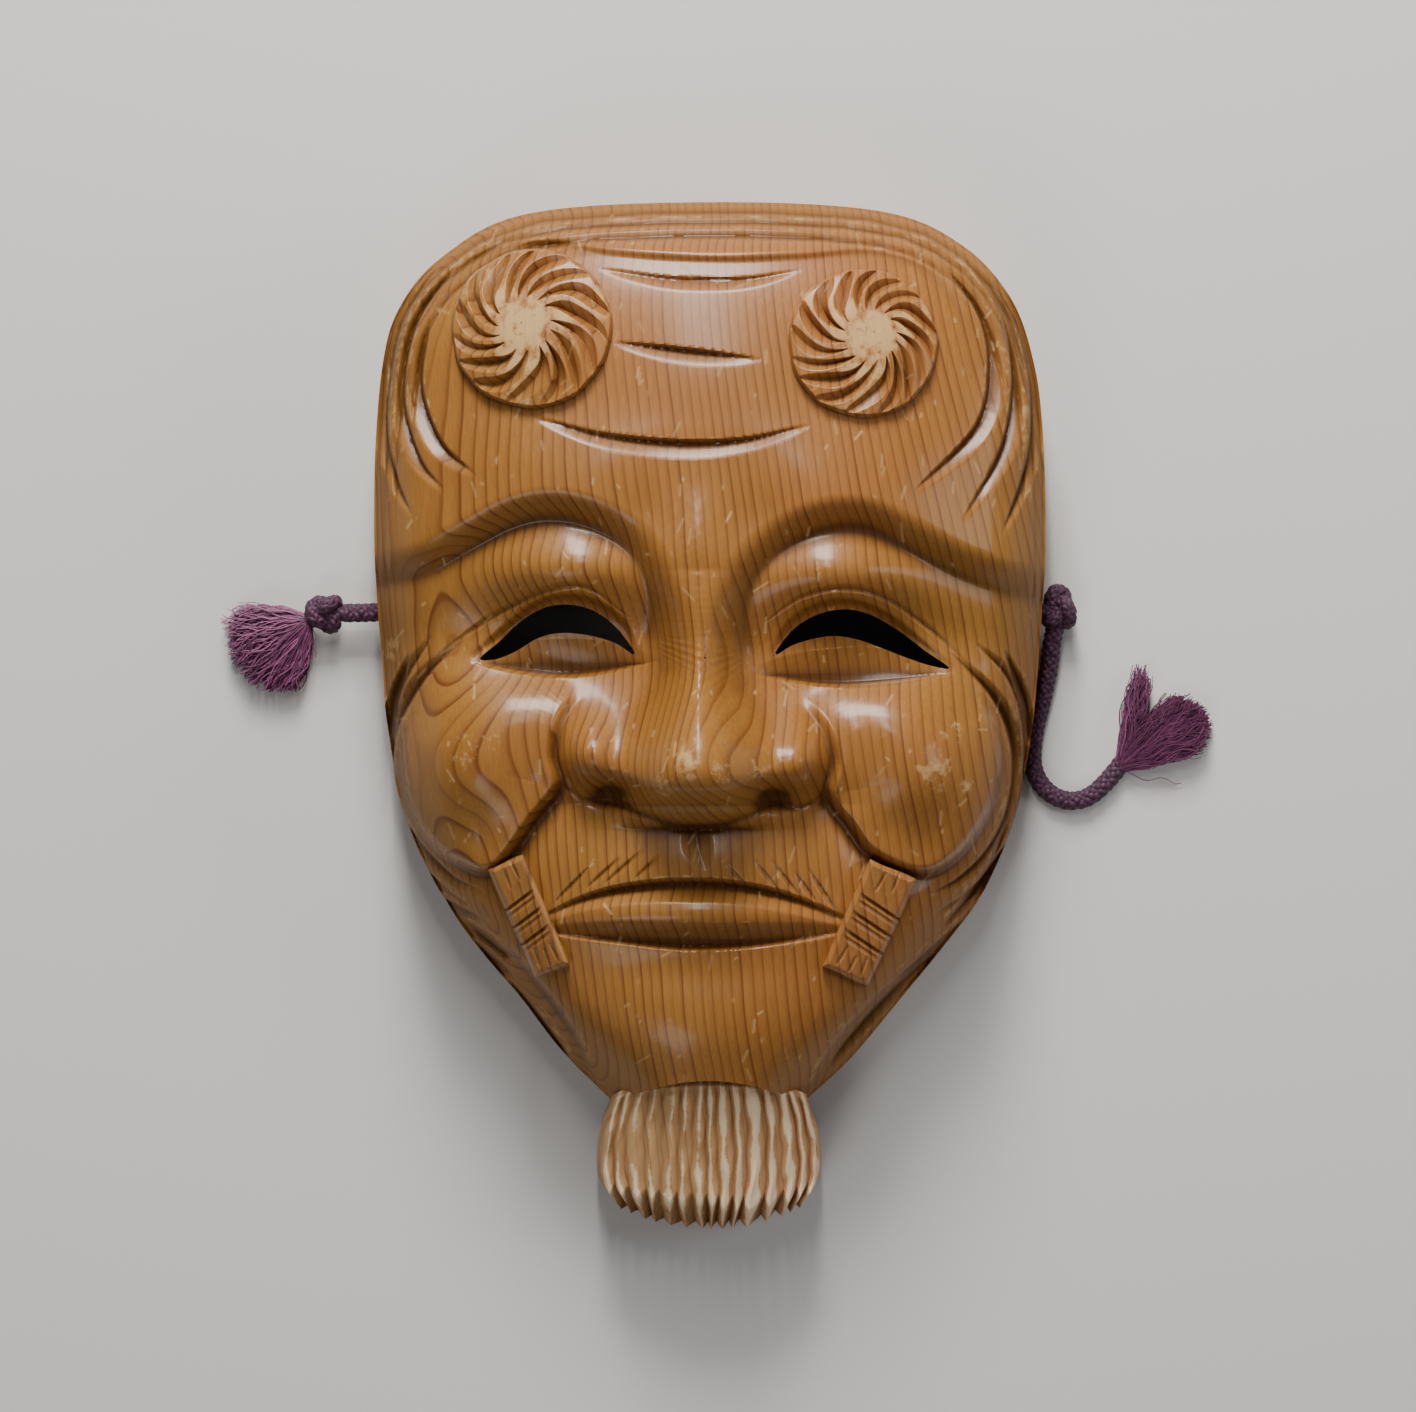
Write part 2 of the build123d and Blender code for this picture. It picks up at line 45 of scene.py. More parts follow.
# ---- camera: straight above, the crown at the top of the picture ----
CAMERA_HEIGHT = 1.5
PICTURE_WIDTH = 0.296  # of the plane SHARP_Z, across the picture
SHARP_Z = 0.018
PICTURE_MIDDLE = (-0.0004, 0.0022)

camera_data = bpy.data.cameras.new("camera")
camera_data.lens = camera_data.sensor_width * (CAMERA_HEIGHT - SHARP_Z) / PICTURE_WIDTH
camera = bpy.data.objects.new("camera", camera_data)
camera.location = (*PICTURE_MIDDLE, CAMERA_HEIGHT)
bpy.context.scene.collection.objects.link(camera)
bpy.context.scene.camera = camera


# ---- curves and smooth tables ----
def smooth_line(points, steps=8, closed=False):
    """A smooth line through the points, as an array."""
    p = np.array(points, float)
    ends = (p[-1], p[0]) if closed else (2 * p[0] - p[1], 2 * p[-1] - p[-2])
    p = np.vstack([ends[0], p, ends[1]] + ([p[1]] if closed else []))
    out = []
    for a, b, c, d in zip(p, p[1:], p[2:], p[3:]):
        for u in np.arange(steps) / steps:
            out.append(
                0.5
                * (2 * b + (c - a) * u + (2 * a - 5 * b + 4 * c - d) * u**2
                   + (3 * b - a - 3 * c + d) * u**3)
            )
    if not closed:
        out.append(p[-2])
    return np.array(out)


def along(table, t):
    """Smooth values at t, from (position, value) pairs in rising order of position."""
    at, value = np.array(table, float).T
    slope = np.empty_like(value)
    slope[1:-1] = (value[2:] - value[:-2]) / (at[2:] - at[:-2])
    slope[0] = (value[1] - value[0]) / (at[1] - at[0])
    slope[-1] = (value[-1] - value[-2]) / (at[-1] - at[-2])
    t = np.clip(t, at[0], at[-1])
    k = np.clip(np.searchsorted(at, t, side="right") - 1, 0, len(at) - 2)
    span = at[k + 1] - at[k]
    u = (t - at[k]) / span
    return (
        value[k] * (1 + 2 * u) * (1 - u) ** 2
        + value[k + 1] * (3 - 2 * u) * u**2
        + span * (slope[k] * u * (1 - u) ** 2 - slope[k + 1] * (1 - u) * u**2)
    )


def smoothstep(low, high, t):
    u = np.clip((t - low) / (high - low), 0, 1)
    return u * u * (3 - 2 * u)


def from_run(x, y, a, b):
    """How far along the run from a to b each point is, from 0 to 1, and how far off it in X and Y."""
    dx, dy = b - a
    u = np.clip(((x - a[0]) * dx + (y - a[1]) * dy) / (dx * dx + dy * dy), 0, 1)
    return u, x - a[0] - u * dx, y - a[1] - u * dy


def near(x, y, line, reach):
    """The points within reach of a line: their numbers, their distances, the side they are on,
    +1 to the right of the way that it runs, and their places along it from 0 to 1."""
    low, high = line.min(0) - reach, line.max(0) + reach
    found = np.flatnonzero((x > low[0]) & (x < high[0]) & (y > low[1]) & (y < high[1]))
    px, py = x[found], y[found]
    best = np.full(len(found), 1e9)
    side, place = np.zeros(len(found)), np.zeros(len(found))
    runs = np.linalg.norm(np.diff(line, axis=0), axis=1)
    starts = np.concatenate([[0], np.cumsum(runs)])
    for k, run in enumerate(runs):
        u, off_x, off_y = from_run(px, py, line[k], line[k + 1])
        dx, dy = line[k + 1] - line[k]
        distance = np.hypot(off_x, off_y)
        closer = distance < best
        best[closer] = distance[closer]
        side[closer] = np.sign(off_x * dy - off_y * dx)[closer]
        place[closer] = ((starts[k] + u * run) / starts[-1])[closer]
    kept = best < reach
    return found[kept], best[kept], side[kept], place[kept]


# ---- the shape of the face, as the part's source gives it ----
OUTLINE = [
    (20.0, -80.2), (29.3, -71.8), (39.7, -59.3), (49.6, -47.2), (57.5, -36.0), (63.7, -21.6),
    (67.1, -4.9), (68.9, 16.0), (69.8, 36.0), (69.3, 58.0), (67.6, 73.0), (62.7, 87.0),
    (52.3, 98.3), (35.5, 105.2), (0.0, 106.9), (-38.0, 104.7), (-55.6, 95.8), (-64.6, 85.2),
    (-68.2, 73.0), (-69.7, 52.0), (-69.6, 28.0), (-68.4, 11.8), (-67.2, -4.9), (-63.7, -21.6),
    (-56.6, -36.3), (-48.1, -48.8), (-40.2, -58.0), (-31.0, -70.2), (-20.6, -80.2),
]
SEAM_Y, SEAM_SIDE_Y, SEAM_HALF = -75.0, -80.2, 20.9
RIM_INSET, WALL, TURN_Z = 4.0, 8.5, 11.0
WALL_IN = RIM_INSET + WALL
FACE_THICKNESS = 10.0
HOLE_Y, HOLE_Z, HOLE_R = 21.8, 6.0, 2.3
HOLE_OUT_X, HOLE_IN_X = 69.15, 56.7     # the side wall's two faces at the cord's holes

MID_HEIGHT = [
    (-95, 31), (-76, 38.5), (-60, 43), (-40, 44.5), (-20, 44), (0, 44), (15, 46), (30, 49),
    (45, 51), (60, 52), (80, 50), (95, 45), (107, 38),
]
HALF_WIDTH = [(-95, 25), (-80, 27), (-58, 41), (-37, 57), (-22, 64), (-5, 68), (20, 70)]
SIDE_FALL = 15.0

OUTLINE_CURVE = smooth_line(OUTLINE, 6)


def edge_distance(x, y):
    best = np.full(x.shape, 1e9)
    for a, b in zip(OUTLINE_CURVE, OUTLINE_CURVE[1:]):
        best = np.minimum(best, np.hypot(*from_run(x, y, a, b)[1:]))
    return best


def rolled(distance, wide, deep):
    u = 1 - np.clip(distance / wide, 0.04, 1)
    return deep * (1 - np.sqrt(1 - u * u))


def dome(x, y):
    out = np.minimum(np.abs(x) / along(HALF_WIDTH, y), 1.1)
    return along(MID_HEIGHT, y) - SIDE_FALL * out**2.2


NOSE_X = -2.3
NOSE_RISE = [(-23.2, 0), (-21.6, 6.0), (-19, 11.6), (-14.5, 15.4), (-9, 15.8), (0, 12.0), (10, 7.4),
             (20, 3.6), (30, 0)]
NOSE_HALF = [(-23, 12.0), (-14, 13.4), (-7, 12.0), (0, 9.2), (6, 6.8), (14, 5.6), (30, 6.5)]
NOSE_RIDGE = [(-12, 0), (-6, 0.5), (0, 1.1), (12, 1.1), (20, 0.7), (27, 0)]
NOSE_BASE_RISE = [(-18.0, 0), (-16.6, 2.6), (-14, 5.6), (-9, 6.6), (-3, 5.6), (3, 3.2), (9, 1.0),
                  (16, 0)]
NOSE_BASE_HALF = [(-18, 23), (-11, 25.0), (-5, 24.0), (0, 21), (6, 15), (14, 9)]

# Rounded rises and hollows: centre x, centre y, reach in x, reach in y, height.
SWELLS = [
    (-49.0, -9.5, 14.0, 16.0, 10.0), (44.0, -10.5, 14.5, 16.0, 10.0),     # cheeks
    (-36.0, 1.0, 12.0, 7.0, 2.5), (32.0, 0.0, 12.0, 7.0, 2.5),          # cheek tops
    (-25.0, -7.6, 6.0, 7.4, 6.6), (18.6, -8.8, 6.0, 7.4, 6.6),          # wings of the nose
    (-20.6, -15.6, 4.4, 2.6, -5.5), (12.8, -16.2, 4.4, 2.6, -5.5),      # nostrils
    (-31.0, 15.0, 19.0, 8.0, -6.0), (29.5, 14.0, 19.0, 8.0, -6.0),      # eye sockets
    (-30.0, 30.0, 14.0, 6.5, 4.2), (27.5, 29.0, 14.0, 6.5, 4.2),        # upper lids
    (-31.0, 14.5, 13.0, 4.5, 1.2), (30.0, 13.0, 13.0, 4.5, 1.2),        # lower lids
    (-36.0, 53.0, 24.0, 9.0, 0.8), (33.0, 51.5, 24.0, 9.0, 0.8),        # brows
    (-15.0, 40.0, 8.0, 7.0, -1.2), (10.5, 39.0, 8.0, 7.0, -1.2),        # inner ends of the brows
    (-2.5, 34.0, 7.0, 12.0, 1.6),                                       # between the brows
    (-3.0, -31.0, 26.0, 9.0, 2.4),                                      # upper lip
    (-3.5, -40.8, 24.0, 3.8, 2.6),                                      # lower lip
    (-3.0, -52.0, 22.0, 5.0, -0.9),                                     # hollow under the lip
    (-2.0, -66.0, 17.0, 9.0, 1.4),                                      # chin
]


def face_height(x, y):
    off = np.abs(x - NOSE_X)
    rise = along(NOSE_RISE, y) * np.exp(-((off / along(NOSE_HALF, y)) ** 2.5))
    rise += along(NOSE_RIDGE, y) * np.exp(-((off / 2.6) ** 1.6))
    rise += along(NOSE_BASE_RISE, y) * np.exp(-((off / along(NOSE_BASE_HALF, y)) ** 3.0))
    for cx, cy, rx, ry, height in SWELLS:
        rise += height * np.exp(-(((x - cx) / rx) ** 2) - ((y - cy) / ry) ** 2)
    return dome(x, y) + rise - rolled(edge_distance(x, y), 13.0, 16.0)


def hollow_height(x, y):
    nose_hollow = 9.0 * np.exp(-(((x - NOSE_X) / 10) ** 2) - ((y + 6) / 14) ** 2)
    inner = edge_distance(x, y) - WALL_IN
    return dome(x, y) - FACE_THICKNESS + nose_hollow - rolled(inner, 18.0, 20.0)


# ---- carved lines ----
def directions(line):
    """The way that a line runs at each of its points."""
    forward = np.gradient(line, axis=0)
    return forward / np.linalg.norm(forward, axis=1)[:, None]


def outline_at(inset, start, end):
    """A stretch of the outline moved inward; start and end are places along it from 0 to 1."""
    places = np.linspace(start, end, 24) * (len(OUTLINE_CURVE) - 1)
    line = np.column_stack([np.interp(places, np.arange(len(OUTLINE_CURVE)), values)
                            for values in OUTLINE_CURVE.T])
    forward = directions(line)
    return line + inset * np.stack([-forward[:, 1], forward[:, 0]], 1)


# A step is a fold with one side over the other. Each holds its line, the side that stands over
# (+1 is to the right of the way it runs), the rise and its reach, the drop and its reach, and
# how wide the bank is that leads down to it.
STEPS = [
    # brows over the lids
    ([(-82.0, 25.6), (-69.5, 27.4), (-58.5, 29.6), (-50.2, 33.8), (-39.7, 39.0), (-31.4, 40.2),
      (-23.0, 37.9), (-15.7, 32.7), (-12.3, 24.3), (-12.5, 17.0), (-15.0, 11.8)],
     -1, 4.6, 15.0, 1.7, 3.6, 7.0),
    ([(82.0, 22.6), (70.0, 24.4), (60.6, 26.0), (50.2, 29.6), (39.7, 34.8), (31.4, 38.4), (23.0, 37.9),
      (14.6, 33.8), (9.4, 28.5), (7.3, 22.3), (7.9, 13.9), (11.5, 9.0)], 1, 4.6, 15.0, 1.7, 3.6, 7.0),
    # cheeks over the mouth
    ([(-25.4, 5.4), (-30.0, 0.2), (-32.2, -7.5), (-31.0, -14.6), (-35.5, -20.6), (-44.5, -31.8),
      (-52.4, -30.2), (-58.5, -25.8), (-62.6, -18.6), (-64.2, -9.0), (-62.4, 1.0)],
     1, 2.2, 6.5, 2.6, 4.0, 2.0),
    ([(17.4, 4.0), (22.8, -1.6), (25.4, -8.8), (24.2, -16.4), (28.6, -22.6), (33.4, -28.6),
      (43.1, -32.6), (50.5, -29.6), (57.0, -21.4), (60.2, -11.6), (59.0, -2.0), (54.4, 4.5)],
     -1, 2.2, 6.5, 2.6, 4.0, 2.0),
    # the chin over the flanks of the jaw
    ([(-42.6, -46.4), (-36.4, -54.0), (-31.2, -60.6), (-26.8, -68.2), (-23.4, -78.0)],
     -1, 1.0, 5.0, 3.4, 5.0, 1.0),
    ([(51.0, -45.0), (42.0, -52.0), (35.2, -57.6), (27.8, -65.4), (23.0, -72.6), (20.4, -79.0)],
     1, 1.0, 5.0, 3.4, 5.0, 1.0),
    # the hood's edge over the forehead
    ([(-58.5, 74.0), (-57.0, 85.0), (-49.0, 94.5), (-36.0, 98.0), (-20.0, 95.4), (0.0, 94.0),
      (18.0, 94.6), (34.0, 95.6), (46.0, 91.0), (53.4, 80.0), (55.0, 68.0)], -1, 0.8, 3.5, 0.3, 4.0, 1.0),
    # upper lids over the eyes
    ([(-50.5, 11.6), (-44.2, 16.9), (-37.0, 22.6), (-30.6, 24.8), (-23.4, 23.7), (-17.3, 18.9),
      (-14.6, 12.0)], -1, 0.7, 2.4, 0.9, 2.4, 0.8),
    ([(50.6, 9.8), (43.6, 15.6), (36.8, 20.9), (29.4, 23.8), (22.4, 23.2), (16.2, 19.4),
      (12.4, 12.4)], 1, 0.7, 2.4, 0.9, 2.4, 0.8),
]

# A groove holds its line, its width on the left and the right of the way it runs, and its depth.
GROOVES = [
    # forehead
    ([(-19.0, 76.6), (-8.0, 75.3), (9.6, 73.2)], 0.7, 3.0, 1.7),
    ([(-35.5, 61.2), (-22.0, 57.6), (-6.3, 56.0), (7.0, 56.6), (19.4, 59.4)], 0.8, 3.4, 2.0),
    ([(-22.0, 91.9), (-10.0, 90.0), (-2.0, 89.6), (8.0, 89.8), (18.0, 91.6)], 0.7, 2.6, 1.0),
    # hair at the left and the right
    ([(-56.5, 93.5), (-64.6, 80.8), (-67.3, 62.0), (-64.8, 49.4), (-61.6, 42.0)], 0.8, 3.0, 2.8),
    ([(-52.5, 93.5), (-61.0, 80.8), (-63.4, 66.1), (-60.0, 53.6), (-55.0, 46.8)], 0.8, 3.4, 2.6),
    ([(-57.8, 80.9), (-59.6, 68.2), (-55.6, 56.7), (-48.6, 50.0)], 0.8, 3.6, 2.4),
    ([(47.3, 94.2), (55.0, 84.0), (57.6, 73.0), (55.0, 59.9), (42.3, 46.6)], 3.6, 0.8, 2.4),
    ([(53.5, 94.1), (60.5, 83.0), (62.7, 70.1), (60.3, 55.7), (52.3, 41.0)], 3.4, 0.8, 2.6),
    ([(58.5, 91.0), (64.7, 79.0), (67.0, 64.1), (65.3, 51.5), (60.3, 38.0)], 3.0, 0.8, 2.8),
    # creases beside and under the eyes
    ([(-56.6, 12.6), (-49.0, 17.8), (-41.0, 22.6), (-33.0, 25.9), (-25.1, 26.3), (-16.7, 20.4)],
     1.0, 0.8, 0.8),
    ([(11.5, 19.4), (18.8, 24.5), (28.3, 26.2), (37.0, 23.9), (46.0, 17.4), (53.6, 10.6)],
     1.0, 0.8, 0.8),
    ([(-47.5, 10.9), (-30.0, 9.2), (-12.6, 11.0)], 7.0, 1.3, 3.2),
    ([(10.0, 8.6), (28.0, 7.2), (49.0, 8.9)], 7.0, 1.3, 3.2),
    # round the cheeks
    ([(-51.0, 15.4), (-58.6, 8.4), (-65.2, -2.6), (-66.6, -13.0), (-62.3, -24.0), (-53.6, -33.0),
      (-47.6, -35.6)], 0.9, 3.2, 3.0),
    ([(-57.8, 15.9), (-64.2, 5.4), (-66.4, -7.3), (-65.6, -17.9), (-59.3, -31.8), (-49.6, -39.6)],
     0.9, 3.2, 3.0),
    ([(-62.4, 12.6), (-66.8, 1.0), (-67.2, -10.0)], 1.4, 1.4, 2.4),
    ([(61.2, 13.2), (65.8, 3.0), (67.0, -6.0)], 1.4, 1.4, 2.4),
    ([(62.4, -22.0), (57.0, -33.8), (48.0, -44.2)], 1.8, 1.6, 2.8),
    ([(-60.5, -34.0), (-54.8, -38.6), (-47.1, -41.9)], 0.9, 3.0, 2.8),
    ([(50.0, 12.6), (56.7, 6.2), (60.6, 0.5), (62.9, -6.3), (63.1, -13.6), (61.2, -21.5),
      (56.7, -28.9), (51.0, -33.9), (45.4, -36.6)], 2.6, 0.9, 3.0),
    ([(55.4, 14.4), (60.6, 9.6), (63.7, 3.9), (65.4, -3.4), (65.7, -12.5), (64.4, -20.4),
      (61.0, -28.3), (55.6, -35.1), (46.6, -40.8)], 2.6, 0.9, 3.0),
    # round the wings of the nose
    ([(-31.0, -13.6), (-26.0, -16.8), (-20.0, -17.4), (-14.0, -20.0), (-3.0, -22.8), (8.0, -20.4),
      (12.6, -17.8), (18.4, -18.8), (24.2, -15.4)], 1.4, 1.4, 1.3),
    # lips
    ([(-34.4, -41.3), (-27.0, -37.8), (-18.0, -35.4), (-6.3, -34.3), (6.0, -34.9), (17.0, -37.4),
      (29.8, -42.4)], 1.4, 3.8, 3.4),
    ([(-33.4, -44.6), (-19.0, -46.0), (-4.2, -47.2), (10.0, -46.6), (27.6, -44.4)], 5.0, 1.0, 2.6),
    # philtrum
    ([(-3.0, -20.5), (-2.6, -26.0), (-0.8, -31.6)], 3.4, 3.4, 0.7),
    # jaw flanks
    ([(-51.8, -42.2), (-46.1, -46.6), (-41.2, -50.4)], 1.8, 2.4, 3.0),
    ([(-50.0, -46.4), (-45.4, -50.6), (-41.2, -54.2)], 1.5, 2.2, 2.8),
    ([(-41.6, -55.4), (-36.6, -61.6), (-30.0, -71.0), (-27.2, -76.6)], 0.9, 2.2, 2.8),
    ([(53.0, -42.4), (46.0, -48.6), (38.6, -54.6)], 2.6, 0.9, 2.8),
    ([(47.5, -49.4), (38.0, -57.4), (28.0, -68.4), (24.0, -75.0)], 2.2, 0.9, 2.8),
]
# Short slanted nicks for the moustache, each a start and an end.
NICKS = [
    ((-32.6, -38.8), (-24.4, -30.4)), ((-25.6, -35.4), (-18.4, -28.8)),
    ((-21.8, -34.4), (-14.0, -27.4)), ((-15.6, -33.4), (-10.4, -28.4)),
    ((3.2, -30.0), (7.6, -34.8)), ((9.0, -29.2), (14.6, -36.2)), ((12.6, -29.4), (19.0, -37.4)),
    ((17.4, -31.8), (22.2, -38.4)), ((20.2, -31.2), (26.4, -40.4)),
]
# Ridges round the hood's edge, each an inset from the outline, a start, an end and a depth.
HOOD_RIDGES = [(2.4, 0.25, 0.75, 1.3), (4.9, 0.29, 0.71, 1.3), (8.0, 0.33, 0.67, 1.2)]


def carve(x, y, z):
    """Cuts the folds into a surface. Gives back its heights, how deep in a cut each point is, taken as a
    painted shade with grime, and how near it is to the crest beside one."""
    cavity, crest = np.zeros_like(z), np.zeros_like(z)
    steep = 1 + 0.6 * smoothstep(16, 5, edge_distance(x, y))
    for points, high, rise, rise_reach, drop, drop_reach, bank in STEPS:
        line = smooth_line(points)
        found, d, side, place = near(x, y, line, 2.8 * max(rise_reach, drop_reach))
        over = smoothstep(-1.0, bank, d * side * high)
        ends = np.sin(np.pi * np.clip(place, 0.0, 1.0)) ** 0.55
        ends *= smoothstep(0.0, 0.07, place) * smoothstep(1.0, 0.93, place)
        z[found] += ends * over * rise * np.exp(-((d / rise_reach) ** 2))
        z[found] -= ends * (1 - over) * drop * np.exp(-((d / drop_reach) ** 1.5))
        # Painted shade and grime along the fold, narrower on the side that stands over.
        cavity[found] += 0.62 * ends * np.exp(-((d / np.where(side * high > 0, 0.4 * bank, 1.5)) ** 2))
    cuts = [(smooth_line(points), left, right, depth) for points, left, right, depth in GROOVES]
    cuts += [(np.array(ends), 0.5, 0.9, 0.7) for ends in NICKS]
    cuts += [(outline_at(inset, a, b), 1.2, 1.6, depth) for inset, a, b, depth in HOOD_RIDGES]
    for line, left, right, depth in cuts:
        found, d, side, place = near(x, y, line, max(left, right) + 1.4)
        taper = np.sin(np.pi * np.clip(place, 0.01, 0.99)) ** 0.7
        wide = np.where(side > 0, right, left) * (0.25 + 0.75 * taper)
        into = np.clip(1 - d / wide, 0, 1)
        z[found] -= depth * steep[found] * taper * into**1.15
        broad = 2.2 if depth > 3.1 else 0.9 if depth > 2.3 else 1.3   # lower is a broader shade
        # Painted shade and grime down in the groove.
        cavity[found] += 0.8 * taper * into**broad * min(depth, 1.3)
        # How near the crest beside a deep cut each point is, for a pale painted highlight along it.
        if depth > 1.6:
            beside = taper * np.exp(-(((d - wide - 0.15) / 0.5) ** 2))
            crest[found] = np.maximum(crest[found], beside)
    return z, np.clip(cavity, 0, 1), crest


def carved_height(x, y):
    return carve(x, y, face_height(x, y))[0]


def hollows(x, y, reach):
    """How far each place on the carved face lies below (+) or above (-) what is round it, in mm."""
    step = 0.6
    across, up = np.arange(-78, 78, step), np.arange(-90, 114, step)
    gx, gy = np.meshgrid(across, up)
    height = carved_height(gx.ravel(), gy.ravel()).reshape(gx.shape)
    half = int(2.5 * reach / step)
    weight = np.exp(-((np.arange(-half, half + 1) * step / reach) ** 2))
    weight /= weight.sum()
    padded = np.pad(height, half, mode="edge")
    blurred = sum(w * padded[k: k + len(up), :] for k, w in enumerate(weight))
    blurred = sum(w * blurred[:, k: k + len(across)] for k, w in enumerate(weight))
    below = blurred - height
    fx = np.clip((x - across[0]) / step, 0, len(across) - 1.001)
    fy = np.clip((y - up[0]) / step, 0, len(up) - 1.001)
    i, j = fx.astype(int), fy.astype(int)
    u, v = fx - i, fy - j
    return ((1 - u) * (1 - v) * below[j, i] + u * (1 - v) * below[j, i + 1]
            + (1 - u) * v * below[j + 1, i] + u * v * below[j + 1, i + 1])


# ---- mesh helpers ----
def make_object(name, points, faces, sharp=38.0):
    mesh = bpy.data.meshes.new(name)
    points = np.asarray(points, float) * MM
    mesh.from_pydata(points.tolist(), [], faces if isinstance(faces, list) else faces.tolist())
    mesh.update()
    mesh.shade_smooth()
    mesh.set_sharp_from_angle(angle=math.radians(sharp))
    made = bpy.data.objects.new(name, mesh)
    bpy.context.scene.collection.objects.link(made)
    return made


def set_points(mesh, name, values):
    layer = mesh.attributes.new(name, "FLOAT", "POINT")
    layer.data.foreach_set("value", np.asarray(values, np.float32))


# The wood's marks: painted shade with grime, wear with painted highlights, scratches, and bare wood inside
# with painted shade on the flanks.
WOOD_MARKS = ("cavity", "worn", "scratch", "inside")


def spread(mesh, **values):
    """Gives the mesh each of the wood's four marks, at nothing where no values are given."""
    for key in WOOD_MARKS:
        set_points(mesh, key, values.get(key, np.zeros(len(mesh.vertices))))


def filled(values, total):
    """The values with zeros after them."""
    return np.concatenate([values, np.zeros(total - len(values))])


def ring_faces(rings, around, first=0):
    """Quads between rings of points that follow one another, each ring closed."""
    k, j = np.meshgrid(np.arange(rings - 1), np.arange(around), indexing="ij")
    a = first + k * around + j
    b = first + k * around + (j + 1) % around
    return np.stack([a, b, b + around, a + around], -1).reshape(-1, 4)


# ---- mask body ----
EYES = [
    [(-47.4, 12.0), (-43.6, 15.4), (-39.7, 19.1), (-35.6, 21.8), (-31.4, 23.0), (-26.6, 22.7),
     (-22.4, 20.9), (-18.4, 17.4), (-15.3, 12.6), (-18.8, 14.8), (-22.6, 16.2), (-26.6, 17.0),
     (-31.0, 17.2), (-35.4, 16.2), (-40.4, 13.3), (-44.4, 11.8)],
    [(49.4, 10.0), (44.4, 13.6), (39.4, 17.4), (34.0, 20.6), (29.2, 22.0), (24.4, 21.7),
     (20.0, 20.0), (16.4, 17.2), (13.2, 12.6), (16.8, 14.6), (20.4, 15.8), (25.2, 16.6),
     (30.0, 16.0), (35.0, 14.3), (40.4, 12.2), (45.2, 10.6)],
]
CENTRE = np.array([-1.0, 12.0])
AROUND, RINGS = ((1280, 300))
INNER_RINGS = 90
CUT_RINGS = 12      # rings of the side wall that the face's cuts run down
BARE_RINGS = 10     # rings of the hollow's wall, up from its edge, that are bare wood


def closed_outline():
    """The whole outline as a closed curve, the chin seam included."""
    left, right = OUTLINE[-1][0], OUTLINE[0][0]
    share = np.linspace(0, 1, 14)[1:-1]
    seam = np.stack([left + share * (right - left),
                     SEAM_SIDE_Y + (SEAM_Y - SEAM_SIDE_Y) * np.sin(np.pi * share)], 1)
    return np.vstack([OUTLINE_CURVE, seam])


def polar(radius, turn):
    """X and Y at a distance and a direction from CENTRE."""
    return CENTRE[0] + radius * np.cos(turn), CENTRE[1] + radius * np.sin(turn)


def rim_radii():
    """How far the outline is from CENTRE in each direction, and how much of each is chin seam."""
    curve = closed_outline() - CENTRE
    angle = np.unwrap(np.arctan2(curve[:, 1], curve[:, 0]))
    order = np.argsort(angle)
    radius = np.hypot(curve[:, 0], curve[:, 1])
    turn = 2 * np.pi * np.arange(AROUND) / AROUND - np.pi
    found = np.interp(turn, angle[order], radius[order], period=2 * np.pi)
    x, y = polar(found, turn)
    seam = np.where(np.abs(x) < 19.0, (y < -60) * 1.0, smoothstep(-77.0, -80.0, y))
    return turn, found, seam


def in_polygon(x, y, line):
    inside = np.zeros(x.shape, bool)
    for (ax, ay), (bx, by) in zip(line, np.roll(line, -1, 0)):
        crosses = (ay > y) != (by > y)
        if crosses.any() and by != ay:
            inside ^= crosses & (x < ax + (y - ay) * (bx - ax) / (by - ay))
    return inside


def snap(points, faces, inside, edge):
    """Drops the faces inside a hole and moves the points along its edge onto the edge's line.
    points is a view of the two coordinates that the hole is drawn in."""
    count = inside[faces].sum(1)
    kept = count < faces.shape[1]
    border = np.unique(faces[(count > 0) & kept])
    border = border[inside[border]]
    for i in border:
        gap = edge - points[i]
        points[i] = edge[np.argmin((gap**2).sum(1))]
    return faces[kept]


def nicks_on(x, y, count, low, high):
    """Small pale scratches, as how much of one each point lies in."""
    scratched = np.zeros_like(x)
    for _ in range(count):
        start = np.array([noise.uniform(low[0], high[0]), noise.uniform(low[1], high[1])])
        turn = noise.normal(1.35, 0.5)
        long = 0.4 + 3.2 * noise.random() ** 2
        line = np.array([start, start + long * np.array([math.cos(turn), math.sin(turn)])])
        found, d, _, _ = near(x, y, line, 0.5)
        scratched[found] = np.maximum(scratched[found], np.clip(1.2 - d / 0.32, 0, 1)
                                      * noise.uniform(0.25, 1.0))
    return scratched


WORN = [  # centre x, centre y, radius and strength of the places rubbed pale
    (-4.6, -9.5, 6.0, 0.48), (-8.6, -14.0, 4.5, 0.46), (2.0, -11.5, 5.0, 0.45), (9.5, -11.0, 5.0, 0.42),
    (-17.0, -12.0, 4.0, 0.34), (-2.4, -4.6, 3.6, 0.42), (-50.0, -7.0, 7.0, 0.42),
    (-44.0, -5.0, 5.0, 0.40), (46.5, -10.5, 7.0, 0.47), (50.0, -3.0, 5.0, 0.44), (52.5, -14.0, 4.0, 0.42),
    (35.0, -4.0, 6.0, 0.3), (-1.0, 18.0, 2.2, 0.35), (-66.0, 14.0, 4.0, 0.5), (-62.0, 40.0, 6.0, 0.34),
    (-58.0, 60.0, 5.0, 0.3), (54.0, 50.0, 4.0, 0.3), (-4.0, 71.0, 6.0, 0.25), (0.0, -45.0, 8.0, 0.15),
]


